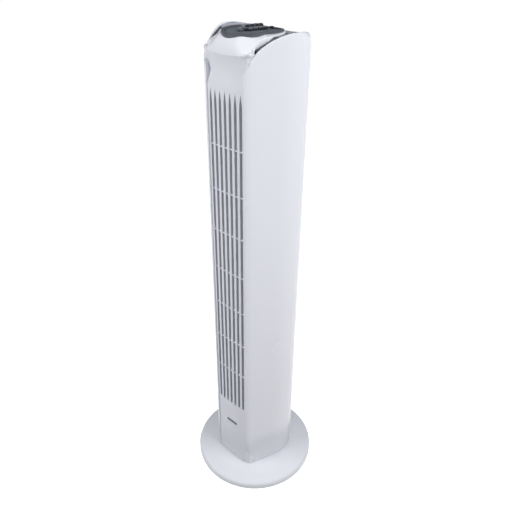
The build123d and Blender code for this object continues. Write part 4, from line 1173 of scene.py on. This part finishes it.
# ---- blower --------------------------------------------------------------------------------------
def impeller():
    """The long crossflow impeller: a ring of curved blades held by discs."""
    low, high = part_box("impeller")
    bottom, top = low.z / MM + 4, high.z / MM
    radius, inner, thick, camber = 35.6, 28.0, 0.65, 1.8
    steps = 6
    points = []
    for z in (bottom + 1, top - 1):
        loop = []
        for side in (thick, -thick):
            run = []
            for step in range(steps + 1):
                share = step / steps
                bulge = camber * 4 * share * (1 - share)
                run.append((inner + (radius - inner) * share, 5 * share - bulge + side))
            loop += run if side > 0 else reversed(run)
        points += [(x, y, z) for x, y in loop]
    count = 2 * (steps + 1)
    faces = grid_faces(2, count, True) + [tuple(range(count)), tuple(range(count, 2 * count))]
    blade = piece("blade", points, faces, blower_grey)
    blades = repeated("blades", blade, BLADE_COUNT, blower_grey, (0, AXIS_Y, 0), (0, 0, 0), 360 / BLADE_COUNT)
    rim = [(26.5, 0), (36, 0), (36, 2), (26.5, 2)]
    disc = lathe("disc", rim, blower_grey, (0, 0), 64)
    bay = (top - bottom - 2) / BAY_COUNT
    discs = repeated("discs", disc, BAY_COUNT - 1, blower_grey, (0, AXIS_Y, bottom + bay), (0, 0, bay))
    foot = [(9, bottom - 4), (12, bottom - 4), (12, bottom), (36, bottom), (36, bottom + 2), (12, bottom + 2)]
    foot += [(12, bottom + 12), (4.1, bottom + 12), (4.1, bottom + 10), (9, bottom + 10)]
    foot = lathe("foot", foot, blower_grey, (0, AXIS_Y), 64)
    head = [(3, top - 10), (7, top - 10), (7, top - 2), (36, top - 2), (36, top), (3, top)]
    head = lathe("head", head, blower_grey, (0, AXIS_Y), 64)
    return join("impeller_skin", blades, discs, foot, head)


wheel = impeller()
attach(wheel, "impeller")
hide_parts("impeller")


# ---- studio --------------------------------------------------------------------------------------
def studio():
    """Pale floor, soft light from the upper left and right, and a camera that looks down on the fan."""
    floor_mesh = bpy.data.meshes.new("floor")
    reach = 30.0
    corners = [(-reach, -reach, 0), (reach, -reach, 0), (reach, reach, 0), (-reach, reach, 0)]
    floor_mesh.from_pydata(corners, [], [(0, 1, 2, 3)])
    floor = bpy.data.objects.new("floor", floor_mesh)
    bpy.context.scene.collection.objects.link(floor)
    paint = bpy.data.materials.new("floor_lit_acrylic")
    paint.use_nodes = True
    sheet = paint.node_tree.nodes["Principled BSDF"].inputs
    sheet["Base Color"].default_value = colour("F0F0F0")
    sheet["Roughness"].default_value = 0.9
    sheet["Specular IOR Level"].default_value = 0.1
    sheet["Emission Color"].default_value = colour("FFFFFF")
    sheet["Emission Strength"].default_value = 0.78
    floor_mesh.materials.append(paint)
    floor.visible_diffuse = False

    world = bpy.data.worlds.new("studio")
    world.use_nodes = True
    tree = world.node_tree
    aim = node(tree, "ShaderNodeSeparateXYZ", Vector=node(tree, "ShaderNodeTexCoord").outputs["Generated"])
    height = node(tree, "ShaderNodeMath", {"operation": "ABSOLUTE"}, i0=aim.outputs["Z"])
    glow = node(
        tree, "ShaderNodeMapRange", Value=height.outputs[0],
        From_Min=0.1, From_Max=0.8, To_Min=0.1, To_Max=0.34
    )
    tree.nodes["Background"].inputs["Color"].default_value = colour("F6F8FF")
    tree.links.new(glow.outputs[0], tree.nodes["Background"].inputs["Strength"])
    bpy.context.scene.world = world

    for name, place, aim, size, power in (
        ("key_light", (-0.5, -1.1, 1.05), (0, -0.05, 0.62), 0.8, 11),
        ("side_light", (1.35, 0.1, 1.25), (0.05, 0, 0.55), 0.8, 18),
        ("top_light", (-0.1, 0.1, 2.0), (0, 0, 0.3), 0.9, 1.5),
    ):
        lamp = bpy.data.lights.new(name, "AREA")
        lamp.size = size
        lamp.energy = power
        light = bpy.data.objects.new(name, lamp)
        light.location = place
        light.visible_glossy = False
        light.rotation_euler = (Vector(aim) - Vector(place)).to_track_quat("-Z", "Y").to_euler()
        bpy.context.scene.collection.objects.link(light)

    lens = bpy.data.cameras.new("camera")
    lens.lens = 38.73
    lens.sensor_width = 36
    camera = bpy.data.objects.new("camera", lens)
    camera.location = (0.4761, -0.5243, 0.8445)
    look = Vector((-0.5737, 0.6317, -0.5214))
    roll = 0.00707
    camera.rotation_mode = "QUATERNION"
    camera.rotation_quaternion = look.to_track_quat("-Z", "Y") @ Quaternion((0, 0, 1), roll)
    bpy.context.scene.collection.objects.link(camera)
    bpy.context.scene.camera = camera
    bpy.context.scene.view_settings.view_transform = "Standard"


studio()
